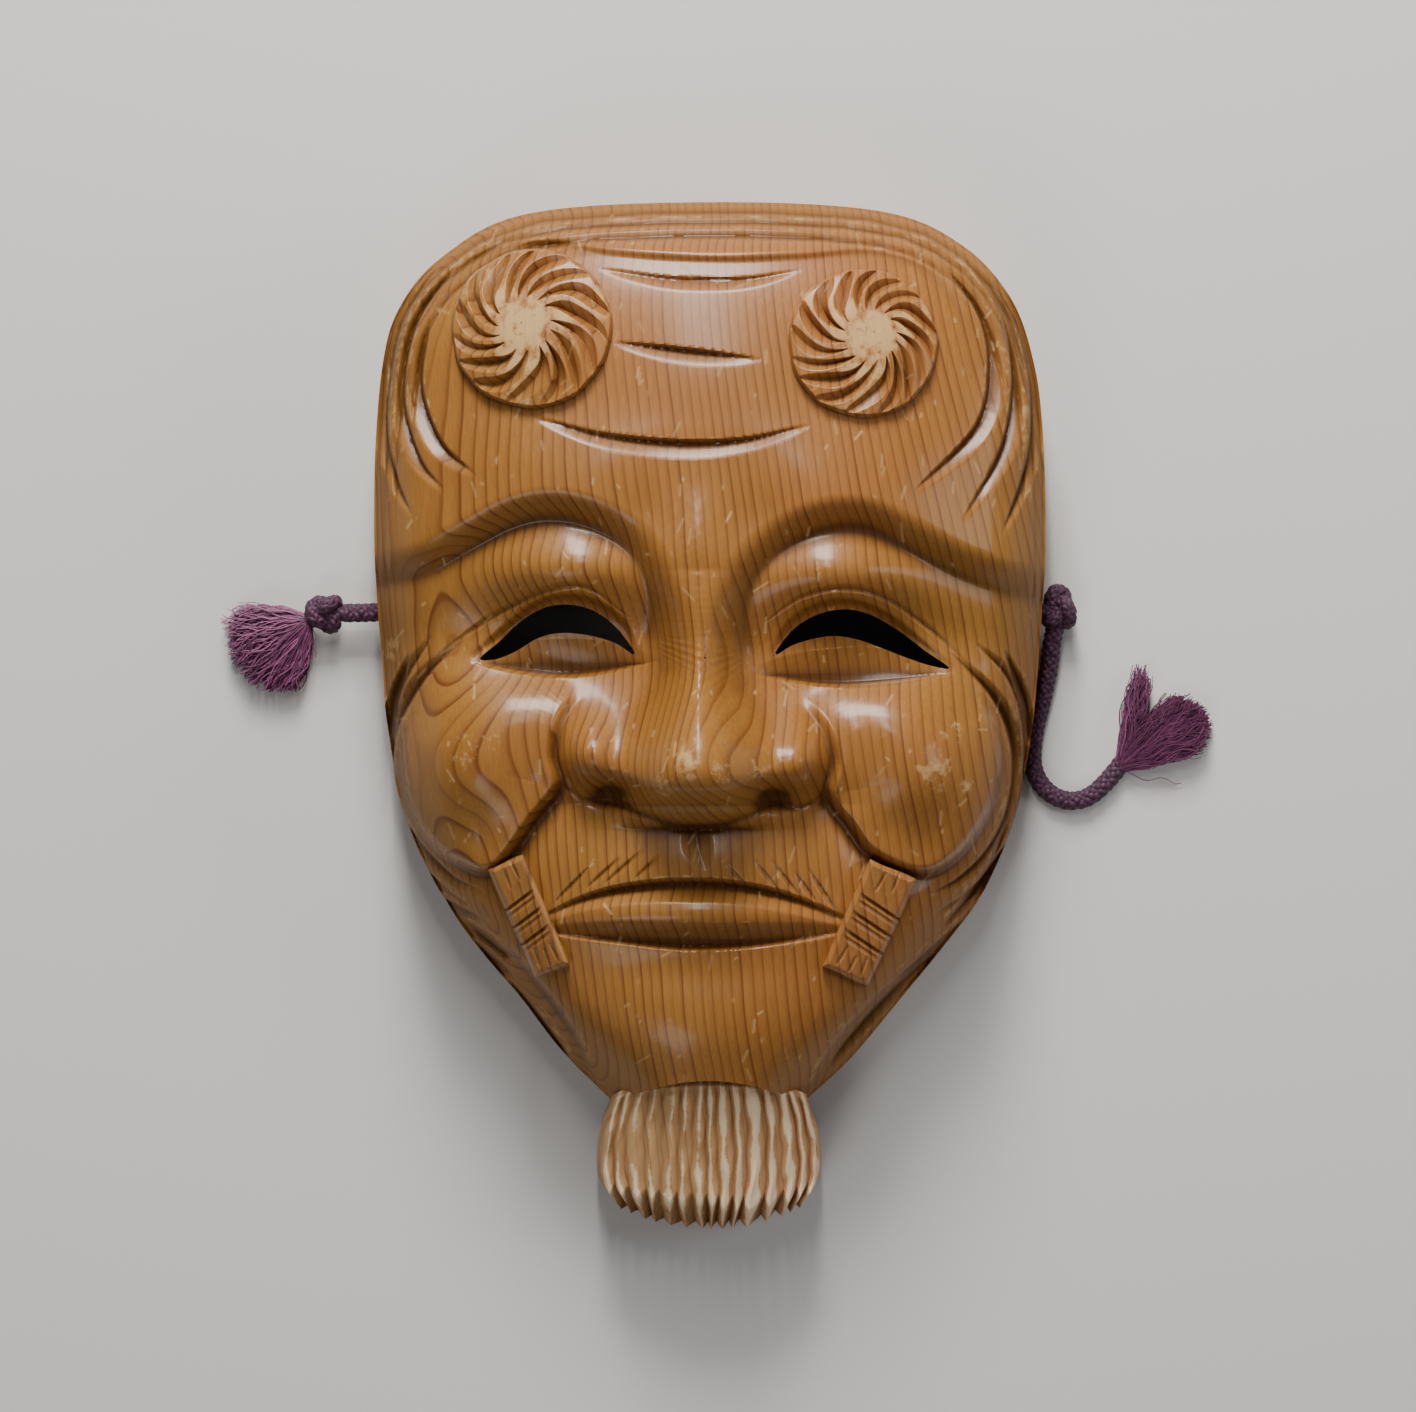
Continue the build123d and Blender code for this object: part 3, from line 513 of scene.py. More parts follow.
def wall_rings(edge, hollow_edge, seam):
    """Rings down the side wall, across the rim and up the hollow's wall, each as its inset from the
    outline and its height in every direction."""
    level = np.zeros(AROUND)
    foot = RIM_INSET * (1 - seam)
    rings = [(level, edge + (TURN_Z - edge) * part) for part in np.linspace(0, 1, 26)[1:]]
    rings += [(foot * part, level + TURN_Z * (1 - part)) for part in np.linspace(0, 1, 24)[1:-1]]
    # the softly rounded outer edge of the rim, and the rim
    rings += [(foot + 0.6 * math.sin(part * math.pi / 2) ** 2 + 0.1, level + 0.6 * (1 - part) ** 2)
              for part in np.linspace(0, 1, 5)]
    rings += [((foot + 0.7) * (1 - part) + part * (WALL_IN - 0.5), level)
              for part in np.linspace(0, 1, 12)[1:]]
    rings += [(level + WALL_IN, 0.5 + (hollow_edge - 0.5) * part) for part in np.linspace(0, 1, 22)[1:]]
    return rings


def cut_eye(points, faces, line, on_face, inner):
    """Cuts an eye through the face and the hollow. Gives the faces left and its lining's rings."""
    within = in_polygon(points[:, 0], points[:, 1], line)
    before = points[:, :2].copy()
    faces = snap(points[:, :2], faces, within & (on_face | inner), line)
    moved = (points[:, :2] != before).any(1)
    for layer, height in ((on_face, carved_height), (inner, hollow_height)):
        changed = np.flatnonzero(moved & layer)
        points[changed, 2] = height(points[changed, 0], points[changed, 1])
    top, low = carved_height(*line.T), hollow_height(*line.T)
    return faces, [np.column_stack([line, top + (low - top) * part]) for part in np.linspace(0, 1, 5)]


def cut_cord_hole(points, faces, side):
    """Cuts the cord's hole through a side wall. Gives the faces left and its lining's rings."""
    angle = np.linspace(0, 2 * np.pi, 40, endpoint=False)
    circle = np.stack([HOLE_Y + HOLE_R * np.cos(angle), HOLE_Z + HOLE_R * np.sin(angle)], 1)
    wall = (points[:, 0] * side > 45) & (points[:, 2] < 12)
    within = in_polygon(points[:, 1], points[:, 2], circle) & wall
    faces = snap(points[:, 1:], faces, within, circle)
    outer = HOLE_OUT_X - RIM_INSET * (1 - circle[:, 1] / TURN_Z)
    return faces, [np.column_stack([side * (outer + (HOLE_IN_X - outer) * part), circle])
                   for part in np.linspace(0, 1, 4)]


def build_mask():
    turn, reach, seam = rim_radii()
    share = 1 - (1 - np.linspace(0, 1, RINGS)) ** 1.22
    share[0] = 0.002
    x, y = (values.ravel() for values in polar(share[:, None] * reach, turn))
    z, cavity, crest = carve(x, y, face_height(x, y))
    close, wide, to_edge = hollows(x, y, 1.6), hollows(x, y, 5.0), edge_distance(x, y)
    from_edge = smoothstep(0, 7, to_edge)
    # Painted shade in the face's small and broad hollows, added to the shade and grime of the cuts, fading
    # out near the outline.
    cavity = np.clip(0.75 * cavity + 0.7 * smoothstep(0.12, 0.9, close) * from_edge
                     + 0.72 * smoothstep(0.4, 2.6, wide) * from_edge, 0, 1)
    # Painted highlights: raised places near the outline and the crests beside the deep cuts are painted
    # pale, together with the rubbed wear.
    raised_highlight = 0.4 * smoothstep(0.18, 0.6, -close) * smoothstep(16, 3, to_edge)
    worn = np.maximum(raised_highlight, 0.43 * crest)
    # The flanks are darkened a little towards the outline as painted shade, and lose some of the varnish's
    # coat.
    flank = 0.6 * smoothstep(13, 1, to_edge)
    scratched = nicks_on(x, y, 340, (-68, -76), (68, 104))

    walls = wall_rings(z[-AROUND:], hollow_height(*polar(reach - WALL_IN, turn)), seam)
    layers = [(x, y, z)] + [(*polar(reach - inset, turn), height) for inset, height in walls]
    inner_share = np.linspace(1, 0.003, INNER_RINGS)[1:]
    x, y = (values.ravel() for values in polar(inner_share[:, None] * (reach - WALL_IN), turn))
    layers.append((x, y, hollow_height(x, y) + chisel_marks(x, y)))
    points = np.hstack([np.stack(layer) for layer in layers]).T.copy()
    faces = ring_faces(len(points) // AROUND, AROUND)

    first_inner = (RINGS + len(walls) - 1) * AROUND
    on_face = np.arange(len(points)) < RINGS * AROUND
    inner = np.arange(len(points)) >= first_inner
    linings = []
    for eye in EYES:
        faces, lining = cut_eye(points, faces, smooth_line(eye, 10, closed=True), on_face, inner)
        linings.append(lining)
    for side in (-1, 1):
        faces, lining = cut_cord_hole(points, faces, side)
        linings.append(lining)
    quads, start = [faces], len(points)
    for lining in linings:
        quads.append(ring_faces(len(lining), len(lining[0]), start))
        start += len(lining) * len(lining[0])
    every = np.vstack([points, *(ring for lining in linings for ring in lining)])
    mask = make_object("mask_carving", every, np.vstack(quads)[:, ::-1], sharp=50.0)

    for cx, cy, radius, strength in WORN:
        gap = np.hypot(points[on_face, 0] - cx, points[on_face, 1] - cy)
        worn = np.maximum(worn, strength * np.exp(-((gap / radius) ** 2)))
    # The painted shade and grime of the face's last cuts run a little way down the side.
    down = [cavity[-AROUND:] * (1 - ring / CUT_RINGS) for ring in range(CUT_RINGS)]
    cavity = filled(np.concatenate([cavity, *down]), len(every))
    # Painted shade inside the linings of the eyes and the cord holes.
    cavity[len(points):] = 0.35
    # Bare wood up the hollow's wall and over the hollow; painted shade and a thinner coat on the flanks, and
    # the same darkening and thinner coat on the side wall and the rim.
    inside = filled(flank, len(every))
    inside[len(flank): first_inner] = 0.6
    inside[first_inner - BARE_RINGS * AROUND: len(points)] = 1
    spread(mask.data, cavity=cavity, worn=filled(worn, len(every)),
           scratch=filled(scratched, len(every)), inside=inside)
    return mask


def chisel_marks(x, y):
    """Shallow scoops of a gouge over the hollow."""
    u = (x * 0.96 + y * 0.28) / 6.0 + 0.35 * np.sin(y / 9.0)
    v = (y * 0.96 - x * 0.28) / 15.0 + 0.5 * np.floor(u)
    scoop = (2 * (u % 1) - 1) ** 2 * 0.35 + (2 * (v % 1) - 1) ** 4 * 0.18
    return -scoop


# ---- applied carvings ----
def patch(name, us, vs, place, skirt):
    """A grid of points over u and v, closed by a skirt down to a depth under its edge."""
    u, v = np.meshgrid(us, vs)
    points = place(u.ravel(), v.ravel())
    rows, columns = len(vs), len(us)
    grid = np.arange(rows * columns).reshape(rows, columns)
    quads = np.stack([grid[:-1, :-1], grid[:-1, 1:], grid[1:, 1:], grid[1:, :-1]], -1).reshape(-1, 4)
    loop = np.concatenate([grid[0, :], grid[1:, -1], grid[-1, -2::-1], grid[-2:0:-1, 0]])
    steps = 6
    layers = [points]
    for k in range(1, steps + 1):
        down = points[loop].copy()
        down[:, 2] = down[:, 2] + (skirt(down) - down[:, 2]) * k / steps
        layers.append(down)
    sides = []
    n = len(loop)
    for k in range(steps):
        upper = loop if k == 0 else len(points) + (k - 1) * n + np.arange(n)
        lower = len(points) + k * n + np.arange(n)
        sides.append(np.stack([upper, lower, np.roll(lower, -1), np.roll(upper, -1)], -1))
    floor = list(len(points) + (steps - 1) * n + np.arange(n))[::-1]
    every = np.vstack(layers)
    made = make_object(name, every, np.vstack([quads, *sides]).tolist() + [floor])
    return made, len(every), rows * columns


def plane_under(cx, cy, reach, x, y):
    """Heights on the plane that the face leans along within reach of a place."""
    middle, left, right, low, high = face_height(cx + reach * np.array([0, -1, 1, 0, 0]),
                                                 cy + reach * np.array([0, 0, 0, -1, 1]))
    return middle + ((x - cx) * (right - left) + (y - cy) * (high - low)) / (2 * reach)


ROSETTES = {  # centre, radius, hub centre, hub radius, gouges
    "left": ((-36.6, 79.7), 16.6, (-38.6, 80.6), 6.6, 15),
    "right": ((31.4, 76.6), 15.4, (33.6, 78.6), 6.4, 16),
}


def build_rosette(side):
    (cx, cy), radius, (hx, hy), hub, petals = ROSETTES[side]
    around, rings = ((720, 110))
    angle = np.linspace(0, 2 * np.pi, around, endpoint=False)
    share = np.linspace(0.004, 1, rings) ** 0.85
    a, s = np.meshgrid(angle, share)
    a, s = a.ravel(), s.ravel()
    # Rings slide from the hub's own centre to the disc's as they widen.
    middle_x, middle_y = hx + (cx - hx) * s, hy + (cy - hy) * s
    wobble = 1 + 0.008 * np.sin(5 * a + 1.0) * s + 0.006 * np.sin(11 * a) * s
    x = middle_x + radius * s * wobble * np.cos(a)
    y = middle_y + radius * s * wobble * np.sin(a)
    hub_share = hub / radius
    t = np.clip((s - hub_share * 0.82) / (0.985 - hub_share * 0.82), 0, 1)
    uneven = 0.16 * np.sin(3 * a + 2) + 0.1 * np.sin(7 * a)
    phase = (a + 0.82 * t) * petals / (2 * np.pi) + uneven
    # A gouge is steep on its first side and broad on the other, and pointed at both ends.
    full = np.sin(np.pi * t) ** 0.5
    width = 0.54 * full * (0.5 + 0.55 * t) + 1e-3
    off = phase % 1.0 - 0.5
    steep = np.where(off < 0, -off / (width * 0.75), off / (width * 1.15))
    gouge = np.clip(1 - steep, 0, 1)
    depth = 2.3 * full * (0.85 + 0.25 * np.sin(5 * a))
    soft = 0.55 * face_height(x, y) + 0.45 * plane_under(cx, cy, 8.0, x, y)
    z = soft + 2.0 + 2.4 * (1 - s**2.4) - depth * gouge
    z -= 1.7 * smoothstep(0.955, 1.0, s) ** 2
    layers = [np.column_stack([x, y, z])]
    rim = layers[0][-around:]
    for k in range(1, 7):
        low = rim.copy()
        low[:, 2] += (face_height(rim[:, 0], rim[:, 1]) - 3.0 - rim[:, 2]) * k / 6
        layers.append(low)
    points = np.vstack(layers)
    made = make_object(f"rosette_{side}_carving", points,
                       ring_faces(len(points) // around, around)[:, ::-1], sharp=45.0)
    hub_worn = np.exp(-((s / (hub_share * 1.25)) ** 4))
    ridge = (1 - gouge) ** 3 * 0.44 * smoothstep(0.8 * hub_share, 1.3 * hub_share, s)
    worn = np.clip(0.58 * hub_worn + ridge * (0.6 + 0.4 * np.sin(3 * a + 0.5)), 0, 1)
    # Painted shade and grime in the gouges, and painted shade on the skirt under the rosette's edge.
    cavity = filled(0.6 * gouge**2 * full, len(points))
    cavity[len(x):] = 0.6
    scratch = nicks_on(x, y, 40, (cx - 15, cy - 15), (cx + 15, cy + 15)) * 0.6
    spread(made.data, worn=filled(worn, len(points)), cavity=cavity,
           scratch=filled(scratch, len(points)))
    return made


TIES = {  # centre, width, length, lean in degrees, lean of the cross cuts
    "left": ((-37.3, -41.2), 8.0, 24.6, 23.0, 14.0),
    "right": ((32.8, -42.4), 10.6, 24.2, -24.0, -10.0),
}


def build_tie(side):
    (cx, cy), wide, long, lean, cut_lean = TIES[side]
    turn, cut_turn = math.radians(lean), math.tan(math.radians(cut_lean))
    count = ((110, 240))
    us, vs = np.linspace(-1, 1, count[0]), np.linspace(-1, 1, count[1])
    dark = {}

    def place(u, v):
        px = u * wide / 2 * (1 + 0.03 * np.sin(2.3 * v + 1))
        py = v * long / 2 * (1 + 0.012 * np.sin(3 * u))
        x = cx + px * math.cos(turn) - py * math.sin(turn)
        y = cy + px * math.sin(turn) + py * math.cos(turn)
        z = 0.45 * face_height(x, y) + 0.55 * plane_under(cx, cy, 5.0, x, y) + 2.7
        edge = np.minimum(wide / 2 - np.abs(px), long / 2 - np.abs(py))
        z -= 0.9 * (1 - smoothstep(0, 1.3, edge)) ** 1.5
        cut = np.zeros_like(z)
        for at in (-3.9, 0.1, 4.0):     # cross cuts that stand for the turns of a tie cord
            off = py - at - px * cut_turn
            fade = smoothstep(wide * 0.42, wide * 0.2, px * (1 if lean > 0 else -1))
            for shift, strength in ((0.0, 1.0), (-1.35, 0.4)):
                gap = off - shift
                cut = np.maximum(cut, strength * fade
                                 * np.clip(1 - np.abs(gap) / np.where(gap > 0, 0.35, 0.75), 0, 1))
        for at, end, tilt in ((-0.25, 0.72, 0.08), (0.3, 0.8, -0.05), (0.05, -0.78, 0.06),
                              (-0.45, -0.7, 0.1), (0.5, -0.72, -0.06)):
            off = px - at * wide / 2 - (py - end * long / 2) * tilt
            reach = np.clip(1 - (np.abs(v - end) / 0.2) ** 2, 0, 1)
            cut = np.maximum(cut, 0.5 * np.clip(1 - np.abs(off) / 0.5, 0, 1) * reach)
        dark["cut"] = cut
        return np.column_stack([x, y, z - 0.95 * cut])

    made, total, top = patch(f"tie_{side}_carving", us, vs, place,
                             lambda p: face_height(p[:, 0], p[:, 1]) - 3.0)
    # Painted shade on the skirt under the block's edge, and painted shade and grime in the cuts.
    cavity = np.full(total, 0.45)
    cavity[:top] = 0.7 * dark["cut"] ** 1.5
    spread(made.data, cavity=cavity, worn=filled(0.28 * (1 - dark["cut"]), total))
    return made


# ---- beard ----
BEARD_TOP, BEARD_FALL, BEARD_SLOPE, BEARD_HALF = 36.0, 9.0, 0.30, 23.5
FLUTES = 15


def build_beard():
    count = ((760, 260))
    us, vs = np.linspace(-1, 1, count[0]), np.linspace(0, 1, count[1])
    marks = {}

    def place(u, v):
        half = along([(0, 20.4), (0.25, 22.6), (0.55, 23.5), (0.8, 23.0), (1, 20.6)], v)
        x = u * half - 0.2
        seam = SEAM_SIDE_Y + (SEAM_Y - SEAM_SIDE_Y) * np.sqrt(np.clip(1 - (x / SEAM_HALF) ** 2, 0, 1))
        seam = np.where(np.abs(x) > SEAM_HALF, SEAM_SIDE_Y, seam)
        end = -106.9 + 5.0 * np.abs(u) ** 2.4
        sway = 0.16 * np.sin(5 * v + 9 * u) * v + 0.05 * np.sin(19 * v + 31 * u)
        phase = (u + 0.03 * np.sin(7 * u) + 0.012 * np.sin(23 * u)) * FLUTES / 2 + 0.25 + sway
        lane = np.abs((phase % 1.0) ** 0.75 - 0.5) * 2      # 0 on a ridge, 1 in the valley
        cell = np.floor(phase)
        vary = 0.5 + 0.5 * np.sin(cell * 12.9898)
        end = end + 1.9 * lane * (0.5 + 0.5 * vary) - 0.5 * vary
        y = seam + (end - seam) * v
        fall = BEARD_FALL * (x / BEARD_HALF) ** 2
        z = BEARD_TOP - 0.8 - fall - BEARD_SLOPE * (SEAM_Y - y) * 0.85
        z -= (1.15 + 0.5 * vary) * lane**1.1 * smoothstep(0.0, 0.1, v)
        z += 0.35 * np.sin(17 * v + 5 * cell) * (1 - lane) * 0.5
        bevel = smoothstep(0.80 + 0.05 * vary - 0.05 * lane, 1.0, v)
        z -= 8.5 * bevel**1.3 + 3.0 * lane * bevel
        z -= 1.6 * (1 - smoothstep(0, 0.05, v))
        z -= 6.0 * np.clip((np.abs(u) - 0.93) / 0.07, 0, 1) ** 2
        marks["lane"], marks["v"], marks["vary"], marks["bevel"] = lane, v, vary, bevel
        return np.column_stack([x, y, z])

    made, total, top = patch("beard_carving", us, vs, place, lambda p: np.full(len(p), 3.0))
    lane, v, vary, bevel = (marks[k] for k in ("lane", "v", "vary", "bevel"))
    worn = np.clip(1 - lane * 1.3, 0, 1) * (0.6 + 0.6 * vary) * (0.8 + 0.2 * np.sin(11 * v))
    worn += 0.5 * np.exp(-(((v - 0.82) / 0.06) ** 2)) * (1 - lane) * (1 - bevel)
    # Painted shade on the skirt, and painted shade and grime in the valleys and down the bevel.
    cavity = np.full(total, 0.3)
    cavity[:top] = 0.45 * np.clip(lane * 1.6 - 0.7, 0, 1) + 0.15 * bevel
    spread(made.data, cavity=cavity, worn=filled(np.clip(worn, 0, 1), total))
    return made


# ---- cords ----
CORD_D = 3.7
CORD_PITCH = 2.6    # length of a full turn of the braid, in diameters
CORD_Z = CORD_D / 2 + 0.05
KNOT_LEFT, KNOT_RIGHT = (-81.0, HOLE_Y, HOLE_Z), (73.6, HOLE_Y, HOLE_Z)
HANGING_ROUTE = [
    (-77.0, HOLE_Y, HOLE_Z), (-45.5, HOLE_Y, HOLE_Z), (-24.0, 46.0, CORD_Z), (6.0, 55.0, CORD_Z),
    (30.0, 42.0, CORD_Z), (45.5, HOLE_Y, HOLE_Z), (69.6, HOLE_Y, HOLE_Z),
]
TAIL_ROUTE = [      # from inside its knot, so that it comes out of the knot wherever it swings
    (73.4, 20.9, 5.7), (72.2, 16.7, 4.4), (71.7, 10.4, 2.4), (70.2, 3.4, CORD_Z),
    (68.3, -4.0, CORD_Z), (67.9, -11.0, CORD_Z), (71.2, -16.4, CORD_Z), (76.9, -18.4, CORD_Z),
    (82.6, -15.8, CORD_Z), (87.2, -9.6, CORD_Z),
]


def spline_line(points):
    """The points along a cord's NURBS spline, as Blender draws it, in millimetres."""
    curve = bpy.data.curves.new("route", "CURVE")
    curve.dimensions = "3D"
    spline = curve.splines.new("NURBS")
    spline.points.add(len(points) - 1)
    for point, place in zip(spline.points, points):
        point.co = (*(c * MM for c in place), 1)
    spline.order_u = 3
    spline.use_endpoint_u = True
    spline.resolution_u = 24
    holder = bpy.data.objects.new("route", curve)
    mesh = bpy.data.meshes.new_from_object(holder)
    line = np.array([v.co[:] for v in mesh.vertices]) / MM
    bpy.data.objects.remove(holder)
    bpy.data.curves.remove(curve)
    bpy.data.meshes.remove(mesh)
    return line


def even_line(line, step):
    """The same line with its points a step apart."""
    runs = np.concatenate([[0], np.cumsum(np.linalg.norm(np.diff(line, axis=0), axis=1))])
    at = np.linspace(0, runs[-1], max(3, int(runs[-1] / step) + 1))
    return np.column_stack([np.interp(at, runs, line[:, k]) for k in range(3)]), at


def frames(line):
    """Two directions across the line at each point, without twist."""
    forward = directions(line)
    first = np.cross(forward[0], (0, 0, 1.0))
    if np.linalg.norm(first) < 0.1:
        first = np.cross(forward[0], (0, 1.0, 0))
    across = [first / np.linalg.norm(first)]
    for f in forward[1:]:
        a = across[-1] - f * np.dot(across[-1], f)
        across.append(a / np.linalg.norm(a))
    across = np.array(across)
    return across, np.cross(forward, across)


def tube(line, radius, sides, first):
    """The points and faces of a tube round a line, with closed ends."""
    across, over = frames(line)
    radius = np.broadcast_to(radius, len(line))
    angle = 2 * np.pi * np.arange(sides) / sides
    points = (line[:, None] + radius[:, None, None]
              * (np.cos(angle)[None, :, None] * across[:, None]
                 + np.sin(angle)[None, :, None] * over[:, None])).reshape(-1, 3)
    faces = ring_faces(len(line), sides, first).tolist()
    last = first + (len(line) - 1) * sides
    faces.append(list(range(first, first + sides))[::-1])
    faces.append(list(range(last, last + sides)))
    return points, faces


CARRIERS = 6     # yarns each way in the braid
YARN_SIDES = 6
BRAID_STEP = 0.24


def braid(line, diameter, pitch):
    """The yarns of a round braid along a line, half of them turning each way, over and under."""
    line, at = even_line(line, BRAID_STEP)
    across, over = frames(line)
    points, faces = [], []
    first = 0
    radius = diameter / 2
    yarn = math.pi * diameter / CARRIERS * 0.30
    for way in (-1, 1):
        for k in range(CARRIERS):
            turn = way * 2 * np.pi * at / pitch + 2 * np.pi * (k + 0.25 * way) / CARRIERS
            weave = np.sin(2 * np.pi * at / pitch * CARRIERS + np.pi * k + (0 if way > 0 else np.pi))
            r = radius - yarn * 0.66 + 0.30 * yarn * np.sign(weave) * np.abs(weave) ** 0.5
            out = np.cos(turn)[:, None] * across + np.sin(turn)[:, None] * over
            centre = line + r[:, None] * out
            forward = directions(centre)
            wide = np.cross(forward, out)
            angle = 2 * np.pi * np.arange(YARN_SIDES) / YARN_SIDES
            ring = (centre[:, None] + yarn * 1.12 * np.cos(angle)[None, :, None] * wide[:, None]
                    + yarn * 0.72 * np.sin(angle)[None, :, None] * out[:, None])
            points.append(ring.reshape(-1, 3))
            faces += ring_faces(len(line), YARN_SIDES, first).tolist()
            first += len(line) * YARN_SIDES
    core, core_faces = tube(line[::3], radius * 0.80, 8, first)
    return np.vstack([*points, core]), faces + core_faces


def build_cord(name, route):
    line = spline_line(route)
    points, faces = braid(line, CORD_D, CORD_PITCH * CORD_D)
    points[:, 2] = np.maximum(points[:, 2], 0.02)
    made = make_object(name, points, faces, sharp=80)
    return made, [tuple(p * MM) for p in even_line(line, 1.5)[0]]


def build_knot(name, centre, size, turn, tilt, stretch, throats):
    """An overhand knot drawn tight, in the same braid, with the cord where it enters and leaves."""
    t = np.linspace(0, 2 * np.pi, 60, endpoint=False)
    ring = np.stack([np.sin(t) + 2 * np.sin(2 * t), np.cos(t) - 2 * np.cos(2 * t), -1.25 * np.sin(3 * t)], 1)
    ring = np.vstack([ring, ring[:1]])
    spin = np.array(Matrix.Rotation(turn, 3, "Z") @ Matrix.Rotation(tilt, 3, "X"))
    line = ring @ spin.T * size / 5.2 * np.array((1, stretch, 1)) + np.array(centre)
    points, faces = braid(line, CORD_D * 0.86, 2.2 * CORD_D)
    for end in throats:
        share = np.linspace(0, 1, 12)[:, None]
        throat = np.array(centre) * (1 - share) + np.array(end) * share
        more, more_faces = braid(throat, CORD_D * 0.97, CORD_PITCH * CORD_D * 0.97)
        faces = faces + [[i + len(points) for i in face] for face in more_faces]
        points = np.vstack([points, more])
    points[:, 2] = np.maximum(points[:, 2], 0.1)
    return make_object(name, points, faces, sharp=80)


def build_tassel(name, start, heading, length, fan, lift, count, stray, wisp):
    """Loose threads that fan out from the end of a cord and come to rest on the surface."""
    count = count
    points, faces, tint = [], [], []
    first = 0
    heading = math.atan2(heading[1], heading[0])
    for k in range(count + stray):
        loose = k >= count
        apart = wisp if k % 9 == 0 else 0.0     # one thread in nine lies apart, in a wisp
        out = noise.uniform(-1, 1) if not loose else noise.normal(0, 1.1)
        reach = length * (0.62 + 0.38 * noise.random() ** 0.7) * (1 - 0.2 * min(abs(out), 1.2) ** 2)
        steps = 12
        s = np.linspace(0, 1, steps)
        curl = noise.uniform(0.25, 0.75) * np.sin(2 * np.pi * (s * noise.uniform(1.0, 2.6) + noise.random()))
        turn = heading + apart + fan * out * (0.3 if apart else 1.0) * (1 - 0.55 * s) + curl * s
        step = reach / (steps - 1)
        x = start[0] + np.concatenate([[0], np.cumsum(step * np.cos(turn[1:]))])
        y = start[1] + np.concatenate([[0], np.cumsum(step * np.sin(turn[1:]))])
        angle, spot = noise.uniform(0, 2 * np.pi), math.sqrt(noise.random())
        side = 1.55 * spot * math.cos(angle)
        x -= side * math.sin(heading) * (1 - s * 0.3)
        y += side * math.cos(heading) * (1 - s * 0.3)
        high = start[2] + 1.45 * spot * math.sin(angle)
        rest = 0.35 + lift * noise.random() ** 1.4
        z = high + (rest - high) * smoothstep(0.05, 0.85, s) + 1.1 * np.sin(np.pi * s) * noise.random()
        line = np.column_stack([x, y, np.maximum(z, 0.3)])
        thick = noise.uniform(0.10, 0.21)
        tube_points, tube_faces = tube(line, thick * (1 - 0.25 * s), 3, first)
        points.append(tube_points)
        faces += tube_faces
        first += len(tube_points)
        tint.append(np.full(len(tube_points), noise.random()))
    made = make_object(name, np.vstack(points), faces, sharp=80)
    set_points(made.data, "tint", np.concatenate(tint))
    return made


# ---- materials ----
class Nodes:
    """A short way to write a material's nodes."""

    def __init__(self, name):
        self.material = bpy.data.materials.new(name)
        self.material.use_nodes = True
        self.tree = self.material.node_tree
        self.tree.nodes.clear()

    def add(self, kind, inputs=None, **settings):
        node = self.tree.nodes.new("ShaderNode" + kind)
        for key, value in settings.items():
            setattr(node, key, value)
        for key, value in (inputs or {}).items():
            if isinstance(value, bpy.types.NodeSocket):
                self.tree.links.new(value, node.inputs[key])
            else:
                node.inputs[key].default_value = value
        return node

    def math(self, operation, a, b=0.0, clamp=False):
        return self.add("Math", {0: a, 1: b}, operation=operation, use_clamp=clamp).outputs[0]

    def plus(self, a, b, clamp=False):
        return self.math("ADD", a, b, clamp)

    def minus(self, a, b, clamp=False):
        return self.math("SUBTRACT", a, b, clamp)

    def times(self, a, b, clamp=False):
        return self.math("MULTIPLY", a, b, clamp)

    def noise(self, place, scale, detail, roughness):
        return self.add("TexNoise", {"Vector": place, "Scale": scale, "Detail": detail,
                                     "Roughness": roughness}).outputs[0]

    def mix(self, share, a, b):
        return self.add("Mix", {0: share, 6: a, 7: b}, data_type="RGBA").outputs[2]

    def ramp(self, value, stops):
        node = self.add("ValToRGB", {0: value})
        while len(node.color_ramp.elements) < len(stops):
            node.color_ramp.elements.new(0.5)
        for element, (place, colour) in zip(node.color_ramp.elements, stops):
            element.position = place
            element.color = (*colour, 1)
        return node.outputs[0]

    def attribute(self, name):
        return self.add("Attribute", attribute_name=name).outputs["Fac"]

    def finish(self, shader):
        self.add("OutputMaterial", {"Surface": shader})
        return self.material


GRAIN_TILT = math.radians(5.5)
PITH = (-0.050, 0.032)   # where the tree's middle ran behind the face, in X and Z
RING_PITCH = 0.00205


def ring_pattern(n, place):
    """The share of a year that each point of the wood is at, the wood's own space, and the year."""
    turned = n.add("Mapping", {"Vector": place, "Rotation": (0, 0, -GRAIN_TILT)}).outputs[0]
    slow = n.noise(turned, 9.0, 1.0, 0.4)
    stretched = n.add("Mapping", {"Vector": turned, "Scale": (1.0, 0.22, 1.0)}).outputs[0]
    quick = n.noise(stretched, 85.0, 2.0, 0.45)
    parts = n.add("SeparateXYZ", {0: turned}).outputs
    lean = n.times(n.times(n.math("MAXIMUM", parts[0], 0.0), 1.6), parts[1])
    across = n.plus(n.minus(parts[0], PITH[0]), lean)
    deep = n.minus(parts[2], PITH[1])
    radius = n.math("SQRT", n.plus(n.times(across, across), n.times(deep, deep)))
    radius = n.plus(radius, n.times(n.minus(slow, 0.5), 0.009))
    radius = n.plus(radius, n.times(n.minus(quick, 0.5), 0.0012))
    years = n.math("DIVIDE", radius, RING_PITCH)
    return n.math("FRACT", years), turned, n.math("FLOOR", years)


def tinted(colour, *shares):
    """A colour with its red, green and blue each taken down to a share."""
    return (*(c * share for c, share in zip(colour, shares)), 1)


